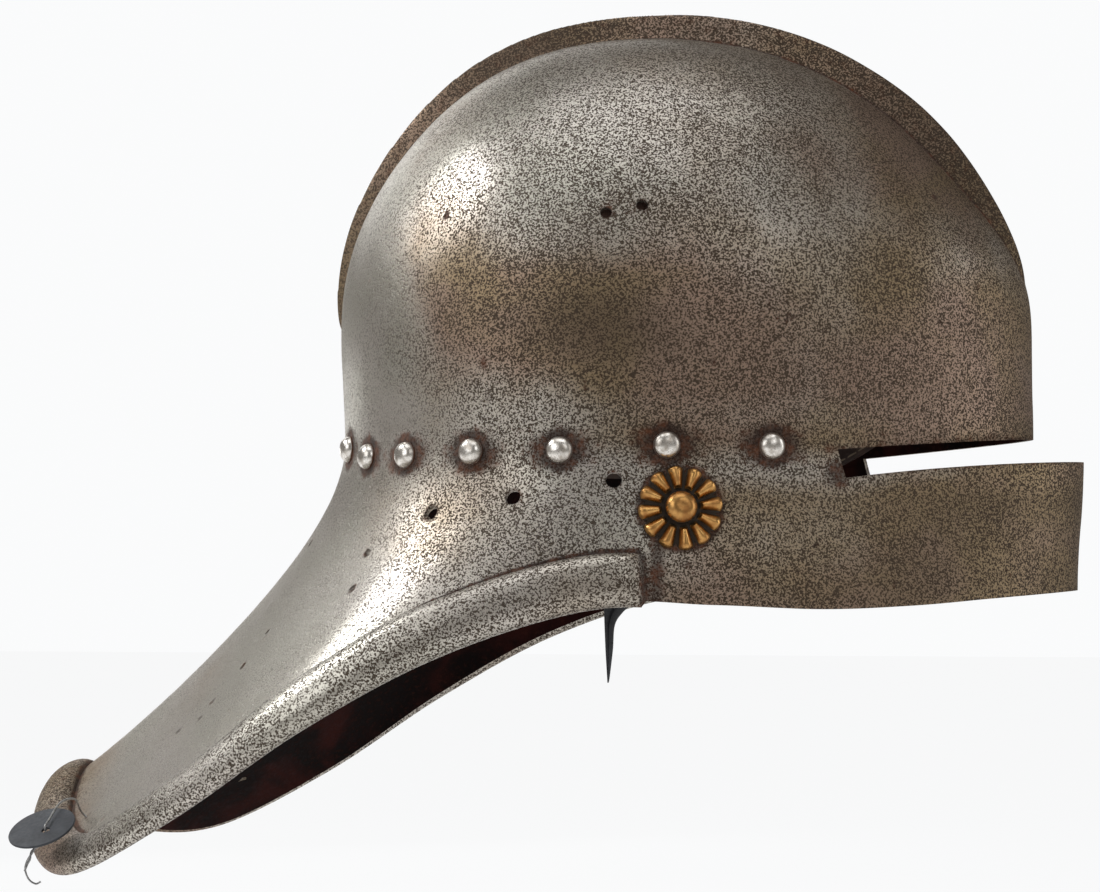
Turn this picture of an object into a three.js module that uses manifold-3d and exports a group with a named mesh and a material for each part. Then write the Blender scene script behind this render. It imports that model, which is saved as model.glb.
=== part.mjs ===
// Jousting sallet: a one-piece steel helmet with a sight slit, a raised comb and a long tail
// whose border is turned over a wire, with its lining, chin straps, buckle and inventory tag.
// Millimetres. +X forward, +Y to the wearer's left, +Z up. The origin is the middle of the
// head opening, level with the lining rivets.
import * as THREE from 'three';
import { mergeVertices } from 'three/addons/utils/BufferGeometryUtils.js';
import Module from 'manifold-3d';

const wasm = await Module();
wasm.setup();

const { abs, atan2, cos, exp, max, min, PI, sin } = Math;
const radians = THREE.MathUtils.degToRad;
const vec = (x, y, z) => new THREE.Vector3(x, y, z);

// Plate and clearances
const PLATE = 2;
const SEAM = 0.3;
const WELD = 1e-5;

// Bowl: an oval waist with a pointed brow, closed by a dome
const HALF_WIDTH = 108;
const WIDEST_X = -22;
const BROW_X = 132.2;
const NAPE_X = -130;
const BROW_POWER = 1.6;
const NAPE_POWER = 2;
const CROWN = { x: -8, z: 156 };
const DOME_POWER = { front: 2.1, side: 2.2, rear: 2.55 };
const NAPE_BULGE = { out: 5.2, top: 140 };
const BROW_BULGE = { out: 7, height: 65, spread: 30 };

// Sight slit and the lip below it
const SLIT_END = 52.5;
const LIP_X = 151;
const LIP_HALF_WIDTH = 110.5;
const LIP_BLEND = 26;
const SLIT_TOP = { brow: 2.5, end: -2.7 };
const SLIT_BOTTOM = { lip: -6, end: -13.4 };
const SLIT_ROW = 0.2;

// Lower edge of the right half, every 15 degrees of plan angle from the lip to the tail
const EDGE = [
  [148.5, 0, -54], [136, -27, -55], [116, -51, -56.5], [91, -72, -58.5], [60, -91, -59.5],
  [23, -107.5, -57.8], [-20, -118.5, -57.5], [-72, -128.5, -74], [-121.5, -131.5, -100.7],
  [-167.5, -123.5, -131.4], [-212, -99.5, -154], [-239, -52, -149], [-247, 0, -132.5],
];

// Comb: a keel from tilt angle `front` above the brow to `rear` above the nape, hollow in between
const COMB = { height: 10.4, halfWidth: 7, footWidth: 3.6, front: 24, rear: 160, steps: 26 };
const COMB_RISE = { over: 30, until: 70 };
const COMB_HOLLOW = { from: 36, to: 127, wall: 2.1 };
// Half of the comb's section: [share of the half width, share of the height]
const COMB_SECTION = [[0.6, 0.42], [0.3, 0.9]];

// Turned border of the tail: `tuck` is how far its free edge sinks into the plate
const BORDER = { from: 84.5, width: [17, 16], height: 6, sheet: 1.6, overhang: 2.2, tuck: 0.6 };
const WIRE_RADIUS = 1.1;

// Lining rivets
const RIVET = { head: 5, height: 3.9, shank: 1.8, butt: 3 };
// Each lining rivet of one side: its way round the waist from the slit's end, and its drop below it
const RIVET_SEATS = [
  { along: 25.5, drop: 1.8 }, { along: 63.6, drop: 1.6 }, { along: 101.5, drop: 3.4 },
  { along: 135.7, drop: 3.7 }, { along: 167.5, drop: 4.4 }, { along: 194, drop: 4.4 },
  { along: 217.5, drop: 1.3 },
];
const WASHER = { outer: 4.6, thickness: 1 };
const HOLE_CLEARANCE = 0.6;
const DRILL_DEPTH = { plate: 6, lining: 12, strap: 20 };

// Lining
const BAND = { half: 9, thickness: 1.8, gap: 0.6, browRise: 17 };
const LINER = { gap: 1.6, thickness: 10, lift: 2.5 };

// Rosettes
const ROSETTE = { x: 11.2, z: -23.9, petals: 12, outer: 15.2, valley: 13.9, thickness: 2.4 };
const BOSS_WASHER = 5.4;
const BOSS = { head: 5.7, height: 4.6, shank: 2.2, butt: 3.8 };

// Leather of the chin straps
const STRAP = { thickness: 2.2, offset: 5, foot: -15 };
const STRAP_PIVOT = { right: -45, left: -37.6 };
const PIVOT_GAP = 1;
// The fork's two arms: one under the rosette, one under the third lining rivet
const ARM = { half: 7, rearX: -32.1, rearZ: -3.4 };

// Buckle, with the leather folded round its bar on both sides of the tongue's eye
const BUCKLE = { width: 24, height: 18, rod: 2.4, corner: 2 };
const FOLD = { inner: 2.1, wall: 1.6, from: 2.6, to: 7, notch: 4.3 };
const TONGUE = { radius: 0.9, eye: 1.3, width: 3.2 };

// Inventory tag
const TAG = { radius: 12.5, thickness: 1, hole: 1.7, centre: vec(-222.5, -100, -140) };
const TAG_NORMAL = vec(-0.16, -0.47, 0.87).normalize();
const TAG_EYE = vec(2.2, -2.3, 0);
const TAG_WIRE_RADIUS = 0.45;
const TAG_HOLE = { x: -216.8, y: -64, radius: 1.6 };
// A hole low in the tail's left wall only
const LEFT_HOLE = { x: -196.5, y: 87.7, radius: 2 };

// Open holes of one side: laces on the bowl, points along the neck and down the tail
const HOLES = [
  { x: -16.4, z: 81.4, radius: 2.2 },
  { x: -3.8, z: 84, radius: 2.2 },
  { x: -12.2, z: -14, radius: 2.8 },
  { x: -48.1, z: -19.9, radius: 2.8 },
  { x: -79.2, z: -25.4, radius: 2.8 },
  { x: -104.4, z: -39.8, radius: 1.9 },
  { x: -107.8, z: -52.6, radius: 1.9 },
  { x: -138.2, y: 34.4, radius: 1.7 },
  { x: -148.1, y: 63.2, radius: 1.8 },
  { x: -156.2, y: 67.4, radius: 1.8 },
  { x: -206, y: 78.9, radius: 1.5 },
];

// Fineness of the plate's sheet of quads
const COLUMNS = { front: 9, rear: 22 };
const BOWL_ROWS = 10;
const SKIRT_SHARES = [0, 0.16, 0.34, 0.54, 0.76, 1];
const LINER_ROWS = [0.14, 0.32, 0.5, 0.68, 0.85, 1];

const materials = {
  steel: new THREE.MeshStandardMaterial({ color: 0x8d857b, roughness: 0.42, metalness: 1 }),
  rivet: new THREE.MeshStandardMaterial({ color: 0xb4aea6, roughness: 0.3, metalness: 1 }),
  iron: new THREE.MeshStandardMaterial({ color: 0x55504c, roughness: 0.6, metalness: 0.9 }),
  brass: new THREE.MeshStandardMaterial({ color: 0xa37b3c, roughness: 0.38, metalness: 1 }),
  leather: new THREE.MeshStandardMaterial({ color: 0x3a2519, roughness: 0.75, metalness: 0 }),
  darkLeather: new THREE.MeshStandardMaterial({ color: 0x24262b, roughness: 0.65, metalness: 0 }),
  linen: new THREE.MeshStandardMaterial({ color: 0x4a3329, roughness: 0.95, metalness: 0 }),
  tag: new THREE.MeshStandardMaterial({ color: 0x2f343c, roughness: 0.55, metalness: 0 }),
};

const helmet = new THREE.Group();

function place(name, geometry, material, parent = helmet) {
  const mesh = new THREE.Mesh(geometry, material);
  mesh.name = name;
  parent.add(mesh);
  return mesh;
}

// ---- Solids ----

function welded(geometry) {
  const bare = geometry.clone();
  bare.deleteAttribute('normal');
  bare.deleteAttribute('uv');
  return mergeVertices(bare, WELD);
}

function toManifold(geometry) {
  const { attributes, index } = welded(geometry);
  return new wasm.Manifold(new wasm.Mesh({
    numProp: 3,
    vertProperties: Float32Array.from(attributes.position.array),
    triVerts: Uint32Array.from(index.array),
  }));
}

function fromManifold(solid) {
  const mesh = solid.getMesh();
  const geometry = new THREE.BufferGeometry();
  geometry.setAttribute('position', new THREE.BufferAttribute(mesh.vertProperties, 3));
  geometry.setIndex(new THREE.BufferAttribute(mesh.triVerts, 1));
  geometry.computeVertexNormals();
  return geometry;
}

function subtractAll(geometry, tools) {
  let solid = toManifold(geometry);
  for (const tool of tools) solid = solid.subtract(toManifold(tool));
  return fromManifold(solid);
}

// Closed mesh with its faces turned outwards
function solidOf(points, triangles) {
  const geometry = new THREE.BufferGeometry().setFromPoints(points);
  geometry.setIndex(triangles);
  return turnedOut(geometry);
}

function turnedOut(geometry) {
  if (volume(geometry) > 0) return geometry;
  const { array } = geometry.index;
  for (let i = 0; i < array.length; i += 3) [array[i], array[i + 2]] = [array[i + 2], array[i]];
  return geometry;
}

// Triangles of a grid of point numbers, id(column, row), over the given counts
function gridTriangles(id, columns, rows) {
  const triangles = [];
  for (let c = 0; c < columns; c += 1) {
    for (let r = 0; r < rows; r += 1) {
      triangles.push(...quad(id(c, r), id(c + 1, r), id(c + 1, r + 1), id(c, r + 1)));
    }
  }
  return triangles;
}

const quad = (a, b, c, d) => [a, b, c, a, c, d];

// Closed tube through a list of equal rings of points
function loft(rings) {
  const count = rings[0].length;
  const id = (c, r) => c * count + (r % count);
  const triangles = gridTriangles(id, rings.length - 1, count);
  const caps = THREE.ShapeUtils.triangulateShape(flatten(rings[0]), []);
  const end = (rings.length - 1) * count;
  for (const [a, b, c] of caps) triangles.push(a, b, c, end + c, end + b, end + a);
  return solidOf(rings.flat(), triangles);
}

// The ring's points in its own plane, counter-clockwise about the ring's normal
function flatten(ring) {
  const normal = vec(0, 0, 0);
  ring.forEach((p, i) => normal.add(vec(0, 0, 0).crossVectors(p, ring[(i + 1) % ring.length])));
  const u = ring[1].clone().sub(ring[0]).normalize();
  const v = normal.normalize().cross(u);
  return ring.map((p) => new THREE.Vector2(p.dot(u), p.dot(v)));
}

function volume(geometry) {
  const { array } = geometry.attributes.position;
  const at = (i) => vec(array[3 * i], array[3 * i + 1], array[3 * i + 2]);
  let total = 0;
  for (let i = 0; i < geometry.index.count; i += 3) {
    const [a, b, c] = [0, 1, 2].map((k) => at(geometry.index.getX(i + k)));
    total += a.dot(b.cross(c)) / 6;
  }
  return total;
}

// A profile of [radius, height] turned about +Z
function turned(profile, segments) {
  const points = profile.map(([r, h]) => new THREE.Vector2(r, h));
  return new THREE.LatheGeometry(points, segments).rotateX(PI / 2);
}

function rod(radius, from, to, segments = 10) {
  const along = to.clone().sub(from);
  const geometry = new THREE.CylinderGeometry(radius, radius, along.length(), segments);
  const turn = new THREE.Quaternion().setFromUnitVectors(vec(0, 1, 0), along.normalize());
  const middle = from.clone().add(to).multiplyScalar(0.5);
  return geometry.applyQuaternion(turn).translate(middle.x, middle.y, middle.z);
}

function wireAlong(points, radius, steps, sides = 8) {
  const section = new THREE.Shape();
  for (let i = 0; i < sides; i += 1) {
    const a = (2 * PI * i) / sides;
    section[i ? 'lineTo' : 'moveTo'](radius * cos(a), radius * sin(a));
  }
  const extrudePath = new THREE.CatmullRomCurve3(points, false, 'centripetal');
  return new THREE.ExtrudeGeometry(section, { steps, bevelEnabled: false, extrudePath });
}

// ---- The steel's outer surface, as a function of plan angle and height ----

const edgeCurve = new THREE.CatmullRomCurve3(
  [...EDGE, ...EDGE.slice(1, -1).reverse().map(([x, y, z]) => [x, -y, z])].map((p) => vec(...p)),
  true,
  'catmullrom',
  0.5,
);

const smooth = (t) => THREE.MathUtils.smoothstep(t, 0, 1);
const mix = THREE.MathUtils.lerp;

// Plan angle: 0 at the brow, 90 on the right, 180 at the nape, then back up the left side
function oval(angle, tipX, halfWidth) {
  const c = cos(angle);
  const s = sin(angle);
  const reach = c > 0 ? tipX - WIDEST_X : WIDEST_X - NAPE_X;
  const power = c > 0 ? BROW_POWER : NAPE_POWER;
  const r = (abs(c) ** power + abs(s) ** power) ** (-1 / power);
  return vec(WIDEST_X + reach * c * r, -halfWidth * s * r, 0);
}

function domePower(angle) {
  const side = sin(angle) ** 2;
  const end = cos(angle) > 0 ? DOME_POWER.front : DOME_POWER.rear;
  return end + (DOME_POWER.side - end) * side;
}

const fromFront = (angle) => min(angle, 2 * PI - angle);

// Height of the slit's upper edge, which is the bowl's lower edge all round
function browHeight(angle) {
  const t = fromFront(angle) / radians(SLIT_END);
  if (t < 1) return mix(SLIT_TOP.brow, SLIT_TOP.end, t ** 1.5);
  return SLIT_TOP.end * (1 - smooth((t - 1) / 0.5));
}

function bowlPoint(angle, u) {
  const waist = oval(angle, BROW_X, HALF_WIDTH);
  const power = domePower(angle);
  const s = sin(u) ** (2 / power);
  const z = CROWN.z * abs(cos(u)) ** (2 / power);
  const rear = (1 - cos(angle)) / 2;
  const front = max(cos(angle), 0) ** 2;
  const bulge = NAPE_BULGE.out * rear * sin(PI * min(z / NAPE_BULGE.top, 1)) ** 2
    + BROW_BULGE.out * front * exp(-(((z - BROW_BULGE.height) / BROW_BULGE.spread) ** 2));
  const low = browHeight(angle) * (1 - smooth(z / 30));
  const x = CROWN.x + (waist.x - CROWN.x) * s + bulge * cos(angle);
  return vec(x, waist.y * s - bulge * sin(angle), z + low);
}

function bezier(p, t) {
  const s = 1 - t;
  return vec(0, 0, 0)
    .addScaledVector(p[0], s ** 3)
    .addScaledVector(p[1], 3 * s * s * t)
    .addScaledVector(p[2], 3 * s * t * t)
    .addScaledVector(p[3], t ** 3);
}

// The skirt flares from the waist (v = 0) to the lower edge (v = 1)
function flare(angle, v) {
  const top = oval(angle, BROW_X, HALF_WIDTH);
  const edge = edgeCurve.getPoint(angle / (2 * PI));
  const span = top.distanceTo(edge);
  const rear = smooth((fromFront(angle) - radians(80)) / radians(100));
  const out = edge.clone().sub(top).setZ(0).normalize();
  const slope = radians(mix(82, 35, rear));
  const first = top.clone().setZ(-span * mix(0.33, 0.16, rear));
  const last = edge.clone().addScaledVector(out, -0.36 * span * cos(slope));
  last.z += 0.36 * span * sin(slope);
  return bezier([top, first, last, edge], v);
}

// Below the slit the plate steps out into the lip
function lip(angle, w) {
  const t = min(fromFront(angle) / radians(SLIT_END), 1);
  const forward = 1 - smooth(t);
  const top = oval(angle, mix(BROW_X, LIP_X, forward), mix(HALF_WIDTH, LIP_HALF_WIDTH, forward));
  top.z = mix(SLIT_BOTTOM.lip, SLIT_BOTTOM.end, t ** 2);
  const edge = edgeCurve.getPoint(angle / (2 * PI));
  const third = (top.z - edge.z) / 3;
  const first = top.clone().setZ(top.z - third);
  const last = edge.clone().setZ(edge.z + third);
  return bezier([top, first, last, edge], w);
}

function skirtPoint(angle, v) {
  const rear = flare(angle, v);
  const blend = smooth((fromFront(angle) - radians(SLIT_END)) / radians(LIP_BLEND));
  if (blend >= 1) return rear;
  const front = v > SLIT_ROW
    ? lip(angle, (v - SLIT_ROW) / (1 - SLIT_ROW))
    : lip(angle, 0).lerp(bowlPoint(angle, PI / 2), 1 - v / SLIT_ROW);
  return front.lerp(rear, blend);
}

// Outward normal of a surface f(angle, t), from its two edges' directions
function normalOf(surface, angle, t, low, high) {
  const da = 1e-3;
  const dt = 1e-3 * (high - low);
  const t0 = max(low, t - dt);
  const t1 = min(high, t + dt);
  const wrap = (a) => (a + 2 * PI) % (2 * PI);
  const across = surface(wrap(angle + da), t).sub(surface(wrap(angle - da), t));
  const down = surface(angle, t1).sub(surface(angle, t0));
  return across.cross(down).normalize();
}

// Column angles: the slit's two ends fall on columns
function columnAngles() {
  const half = [];
  for (let i = 0; i < COLUMNS.front; i += 1) half.push((SLIT_END * i) / COLUMNS.front);
  for (let i = 0; i <= COLUMNS.rear; i += 1) half.push(mix(SLIT_END, 180, i / COLUMNS.rear));
  return [...half, ...half.slice(1, -1).reverse().map((a) => 360 - a)].map(radians);
}

const angles = columnAngles();

// Border width along the edge: broad at the sides, narrower round the tail's tip
function borderWidth(angle) {
  return mix(BORDER.width[0], BORDER.width[1], smooth((fromFront(angle) - radians(100)) / radians(60)));
}

// The skirt's v at a given distance from the lower edge, measured square to the edge
function vAtDistance(angle, distance) {
  const edge = skirtPoint(angle, 1);
  const along = edgeDirection(angle);
  let low = 0;
  let high = 1;
  for (let i = 0; i < 24; i += 1) {
    const v = (low + high) / 2;
    const d = skirtPoint(angle, v).sub(edge);
    const square = d.addScaledVector(along, -d.dot(along)).length();
    if (square > distance) low = v;
    else high = v;
  }
  return (low + high) / 2;
}

function edgeDirection(angle) {
  return edgeCurve.getTangent(angle / (2 * PI));
}

// Rows below the bowl, as v for each column: they end in rows that follow the border
function skirtRows(angle) {
  const inner = vAtDistance(angle, borderWidth(angle));
  const share = (s) => mix(SLIT_ROW, inner, s);
  return [...SKIRT_SHARES.map(share), mix(inner, 1, 0.5), 1];
}

// ---- Skull: a sheet of quads on the outer surface, thickened inwards ----

function plateGeometry() {
  const rows = [];
  for (let i = 1; i <= BOWL_ROWS; i += 1) {
    const u = (PI / 2) * (i / BOWL_ROWS) ** 0.92;
    rows.push(angles.map((a) => ({ p: bowlPoint(a, u), n: normalOf(bowlPoint, a, u, 0.01, PI / 2) })));
  }
  const skirt = angles.map((a) => skirtRows(a).map((v) => ({
    p: skirtPoint(a, v),
    n: normalOf(skirtPoint, a, v, v > SLIT_ROW ? 0 : SLIT_ROW, 1),
  })));
  for (let j = 0; j < skirt[0].length; j += 1) rows.push(skirt.map((column) => column[j]));

  const count = angles.length;
  const points = [vec(CROWN.x, 0, CROWN.z), vec(CROWN.x, 0, CROWN.z - PLATE)];
  for (const depth of [0, PLATE]) {
    points.push(...rows.flat().map(({ p, n }) => p.clone().addScaledVector(n, -depth)));
  }
  const outer = (r, c) => 2 + r * count + (c % count);
  const inner = (r, c) => outer(r, c) + rows.length * count;
  const last = rows.length - 1;
  const slitRow = BOWL_ROWS - 1;
  const inSlit = (c) => {
    const next = angles[(c + 1) % count] || 2 * PI;
    return fromFront((angles[c % count] + next) / 2) < radians(SLIT_END);
  };
  // A wall joins the two skins from one point of the sheet to the next
  const wallFrom = (r0, c0, r1, c1) => quad(outer(r0, c0), inner(r0, c0), inner(r1, c1), outer(r1, c1));
  const triangles = [];
  for (let c = 0; c < count; c += 1) {
    triangles.push(0, outer(0, c), outer(0, c + 1), 1, inner(0, c + 1), inner(0, c));
    for (let r = 0; r < last; r += 1) {
      if (r !== slitRow || !inSlit(c)) {
        triangles.push(...quad(outer(r, c), outer(r + 1, c), outer(r + 1, c + 1), outer(r, c + 1)));
        triangles.push(...quad(inner(r, c + 1), inner(r + 1, c + 1), inner(r + 1, c), inner(r, c)));
      }
    }
    triangles.push(...wallFrom(last, c, last, c + 1));
    if (inSlit(c)) {
      triangles.push(...wallFrom(slitRow, c, slitRow, c + 1));
      triangles.push(...wallFrom(slitRow + 1, c + 1, slitRow + 1, c));
      if (!inSlit(c + count - 1)) triangles.push(...wallFrom(slitRow + 1, c, slitRow, c));
      if (!inSlit(c + 1)) triangles.push(...wallFrom(slitRow, c + 1, slitRow + 1, c + 1));
    }
  }
  return solidOf(points, triangles);
}

// ---- Comb: a keel over the crown, hollow underneath ----

function combHeight(tilt) {
  const rise = min((tilt - COMB.front) / COMB_RISE.over, 1);
  const fall = max((tilt - COMB_RISE.until) / (COMB.rear - COMB_RISE.until), 0);
  return COMB.height * sin((rise * PI) / 2) * cos((fall * PI) / 2) ** 0.35;
}

// The bowl's profile in the plane y = 0, met by a ray from the crown's foot
function crest(tilt) {
  const angle = tilt < 90 ? 0 : PI;
  let low = 0;
  let high = PI / 2;
  for (let i = 0; i < 40; i += 1) {
    const u = (low + high) / 2;
    const p = bowlPoint(angle, u);
    if (atan2(p.z, abs(p.x - CROWN.x)) > radians(min(tilt, 180 - tilt))) low = u;
    else high = u;
  }
  return bowlPoint(angle, (low + high) / 2);
}

// The comb's solid from one tilt to another, with walls thinner by `shrink`, down to depth `base`
function combGeometry(shrink, base, from, to) {
  const rings = [];
  for (let i = 0; i <= COMB.steps; i += 1) {
    const tilt = mix(from, to, i / COMB.steps);
    const p = crest(tilt);
    const along = crest(tilt + 0.5).sub(crest(tilt - 0.5)).normalize();
    const out = vec(-along.z, 0, along.x);
    if (out.dot(vec(p.x - CROWN.x, 0, p.z)) < 0) out.negate();
    const h = combHeight(tilt) - shrink;
    const w = mix(COMB.footWidth, COMB.halfWidth, min(combHeight(tilt) / 8, 1)) - shrink * 1.25;
    const half = [[w, base], ...COMB_SECTION.map(([across, up]) => [across * w, up * h])];
    const section = [...half.map(([y, n]) => [-y, n]), ...half.reverse()];
    rings.push(section.map(([y, n]) => p.clone().addScaledVector(out, n).setY(y)));
  }
  return loft(rings);
}

// ---- Border: the plate's edge turned outwards and closed on the plate ----

// A point at distance d in from the lower edge and n out from the plate
function borderPoint(angle, d, n) {
  const v = vAtDistance(angle, max(d, 0));
  const p = skirtPoint(angle, v);
  const normal = normalOf(skirtPoint, angle, v, 0, 1);
  const outward = edgeDirection(angle).cross(normal);
  if (outward.dot(skirtPoint(angle, 1).sub(skirtPoint(angle, 0.8))) < 0) outward.negate();
  return p.addScaledVector(normal, n).addScaledVector(outward, max(-d, 0));
}

const borderAngles = [
  radians(BORDER.from),
  ...angles.filter((a) => fromFront(a) > radians(BORDER.from + 1)),
  radians(360 - BORDER.from),
];

function borderGeometry() {
  const { height: h, sheet, overhang, tuck } = BORDER;
  const rings = borderAngles.map((angle) => {
    const w = borderWidth(angle);
    const outside = [
      [0.4, 0.6 - PLATE], [-overhang, tuck], [0.8 - overhang, 0.73 * h], [0.3 * w, h],
      [0.68 * w, 0.8 * h], [w, -tuck],
    ];
    const inside = [
      [w - overhang, -tuck], [0.62 * w, 0.8 * h - sheet], [0.3 * w, h - sheet], [-0.1, 0.53 * h],
      [-0.4, tuck + 0.4], [1.2, -tuck],
    ];
    return [...outside, ...inside].map(([d, n]) => borderPoint(angle, d, n));
  });
  return loft(rings);
}

function rimWirePoints() {
  return borderAngles.slice(1, -1).map((angle) => borderPoint(angle, 0.33 * borderWidth(angle), 2.2));
}

// ---- Where fittings sit on the plate ----

const plate = plateGeometry();
const caster = new THREE.Raycaster();
const plateMesh = new THREE.Mesh(plate, new THREE.MeshBasicMaterial({ side: THREE.DoubleSide }));

// The outermost point of the plate met by a ray, with the facet's outward normal
function meet(origin, direction) {
  caster.set(origin, direction.clone().normalize());
  const [hit] = caster.intersectObject(plateMesh);
  const normal = hit.face.normal.clone();
  if (normal.dot(direction) > 0) normal.negate();
  return { point: hit.point, normal };
}

const fromSide = (side, x, z) => meet(vec(x, side * 400, z), vec(0, -side, 0));
const fromAbove = (x, y) => meet(vec(x, y, 300), vec(0, 0, -1));

// How far the plate rises above a seat's tangent plane within a radius
function rise({ point, normal }, radius) {
  const u = vec(0, 0, 1).cross(normal).normalize();
  const v = normal.clone().cross(u);
  let top = 0;
  for (let i = 0; i < 12; i += 1) {
    const a = (2 * PI * i) / 12;
    const p = point.clone().addScaledVector(u, radius * cos(a)).addScaledVector(v, radius * sin(a));
    const hit = meet(p.clone().addScaledVector(normal, 30), normal.clone().negate());
    top = max(top, hit.point.sub(point).dot(normal));
  }
  return top;
}

function setOn(mesh, { point, normal }) {
  mesh.position.copy(point);
  mesh.quaternion.setFromUnitVectors(vec(0, 0, 1), normal);
  mesh.updateMatrixWorld();
  return mesh;
}

// A cutter along a seat's normal, from well outside to a depth inside
function drill({ point, normal }, radius, depth, segments = 6) {
  const above = point.clone().addScaledVector(normal, DRILL_DEPTH.plate);
  return rod(radius, above, point.clone().addScaledVector(normal, -depth), segments);
}

// Seats of the lining rivets, round the waist behind the slit
function rivetSeats(side) {
  const samples = 2000;
  const seats = [];
  let travelled = 0;
  let last = oval(radians(SLIT_END), BROW_X, HALF_WIDTH);
  for (let i = 1; i <= samples && seats.length < RIVET_SEATS.length; i += 1) {
    const p = oval(mix(radians(SLIT_END), PI, i / samples), BROW_X, HALF_WIDTH);
    travelled += p.distanceTo(last);
    const { along, drop } = RIVET_SEATS[seats.length];
    if (travelled >= along) {
      const out = vec(p.y - last.y, last.x - p.x, 0).normalize();
      if (out.dot(vec(p.x - WIDEST_X, p.y, 0)) < 0) out.negate();
      const start = p.clone().addScaledVector(out, 60).setZ(-drop);
      seats.push(meet(start.setY(start.y * -side), vec(-out.x, out.y * side, 0)));
    }
    last = p;
  }
  return seats;
}

const sides = [{ side: -1, tag: 'r', name: 'right' }, { side: 1, tag: 'l', name: 'left' }];
const rivets = sides.flatMap(({ side, tag }) => (
  rivetSeats(side).map((seat, i) => ({ ...seat, id: `${tag}${i + 1}` }))
));
const rosettes = sides.map(({ side, name }) => ({ ...fromSide(side, ROSETTE.x, ROSETTE.z), side, name }));
const tagSeat = fromAbove(TAG_HOLE.x, TAG_HOLE.y);

function openHoles() {
  return sides.flatMap(({ side }) => HOLES.map(({ x, y, z, radius }) => {
    const seat = y === undefined ? fromSide(side, x, z) : fromAbove(x, side * y);
    return drill(seat, radius, DRILL_DEPTH.plate, 8);
  }));
}

function skullShell() {
  const keel = combGeometry(0, 0.1 - PLATE, COMB.front + 0.5, COMB.rear - 0.5);
  const hollow = combGeometry(COMB_HOLLOW.wall, -5, COMB_HOLLOW.from, COMB_HOLLOW.to);
  const solid = toManifold(plate)
    .add(toManifold(keel))
    .subtract(toManifold(hollow))
    .add(toManifold(borderGeometry()));
  const cuts = [
    ...openHoles(),
    ...rivets.map((seat) => drill(seat, RIVET.shank + HOLE_CLEARANCE, DRILL_DEPTH.plate)),
    ...rosettes.map((seat) => drill(seat, BOSS.shank + HOLE_CLEARANCE, DRILL_DEPTH.plate)),
    drill(tagSeat, TAG_HOLE.radius, DRILL_DEPTH.plate, 8),
    drill(fromAbove(LEFT_HOLE.x, LEFT_HOLE.y), LEFT_HOLE.radius, DRILL_DEPTH.plate, 8),
  ];
  return fromManifold(cuts.reduce((rest, cut) => rest.subtract(toManifold(cut)), solid));
}

place('skull_shell', skullShell(), materials.steel);
place('rim_wire', wireAlong(rimWirePoints(), WIRE_RADIUS, 56, 6), materials.iron);

// ---- Lining: band and cap follow the wall at a fixed offset ----

// Parameter t of a surface at a height; the surface falls as t grows
function atHeight(surface, angle, z, high) {
  let low = 0;
  for (let i = 0; i < 30; i += 1) {
    const t = (low + high) / 2;
    if (surface(angle, t).z > z) low = t;
    else high = t;
  }
  return (low + high) / 2;
}

// A point of the wall at a height, moved inwards along the wall's normal
function wall(angle, z, inward) {
  const onBowl = z >= browHeight(angle);
  const surface = onBowl ? bowlPoint : skirtPoint;
  const end = onBowl ? PI / 2 : 1;
  const t = atHeight(surface, angle, z, end);
  const normal = normalOf(surface, angle, t, 0, end);
  return surface(angle, t).addScaledVector(normal, -inward);
}

// The band runs level round the back and climbs over the slit
function bandCentre(angle) {
  return BAND.browRise * (1 - smooth((fromFront(angle) - radians(40)) / radians(24)));
}

// Closed ring through a list of equal sections
function ringGeometry(sections) {
  const count = sections[0].length;
  const id = (c, r) => (c % sections.length) * count + (r % count);
  return solidOf(sections.flat(), gridTriangles(id, sections.length, count));
}

function bandGeometry() {
  const near = PLATE + BAND.gap;
  const far = near + BAND.thickness;
  const band = ringGeometry(angles.map((a) => {
    const z = bandCentre(a);
    const rows = [z + BAND.half, z, z - BAND.half];
    return [...rows.map((h) => wall(a, h, near)), ...rows.reverse().map((h) => wall(a, h, far))];
  }));
  const cuts = rivets.map((seat) => drill(seat, RIVET.shank + HOLE_CLEARANCE, DRILL_DEPTH.lining));
  return subtractAll(band, cuts);
}

const band = place('lining_band', bandGeometry(), materials.leather);

function linerGeometry() {
  const columns = angles.filter((_, i) => i % 2 === 0);
  const near = PLATE + LINER.gap;
  const rowsOf = (a) => {
    const low = bandCentre(a) + BAND.half + LINER.lift;
    const end = atHeight(bowlPoint, a, low, PI / 2);
    return LINER_ROWS.map((t) => bowlPoint(a, t * end).z);
  };
  const far = near + LINER.thickness;
  const grid = columns.map((a) => rowsOf(a).map((z) => [wall(a, z, near), wall(a, z, far)]));
  const count = columns.length;
  const rows = LINER_ROWS.length;
  const points = [vec(CROWN.x, 0, CROWN.z - near), vec(CROWN.x, 0, CROWN.z - far), ...grid.flat(2)];
  const outer = (c, r) => 2 + ((c % count) * rows + r) * 2;
  const inner = (c, r) => outer(c, r) + 1;
  const hem = rows - 1;
  const triangles = [
    ...gridTriangles(outer, count, hem),
    ...gridTriangles((c, r) => inner(count - c, r), count, hem),
  ];
  for (let c = 0; c < count; c += 1) {
    triangles.push(0, outer(c + 1, 0), outer(c, 0), 1, inner(c, 0), inner(c + 1, 0));
    triangles.push(...quad(outer(c, hem), outer(c + 1, hem), inner(c + 1, hem), inner(c, hem)));
  }
  return solidOf(points, triangles);
}

place('liner_cap', linerGeometry(), materials.linen);

// ---- Lining rivets and their washers ----

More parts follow.
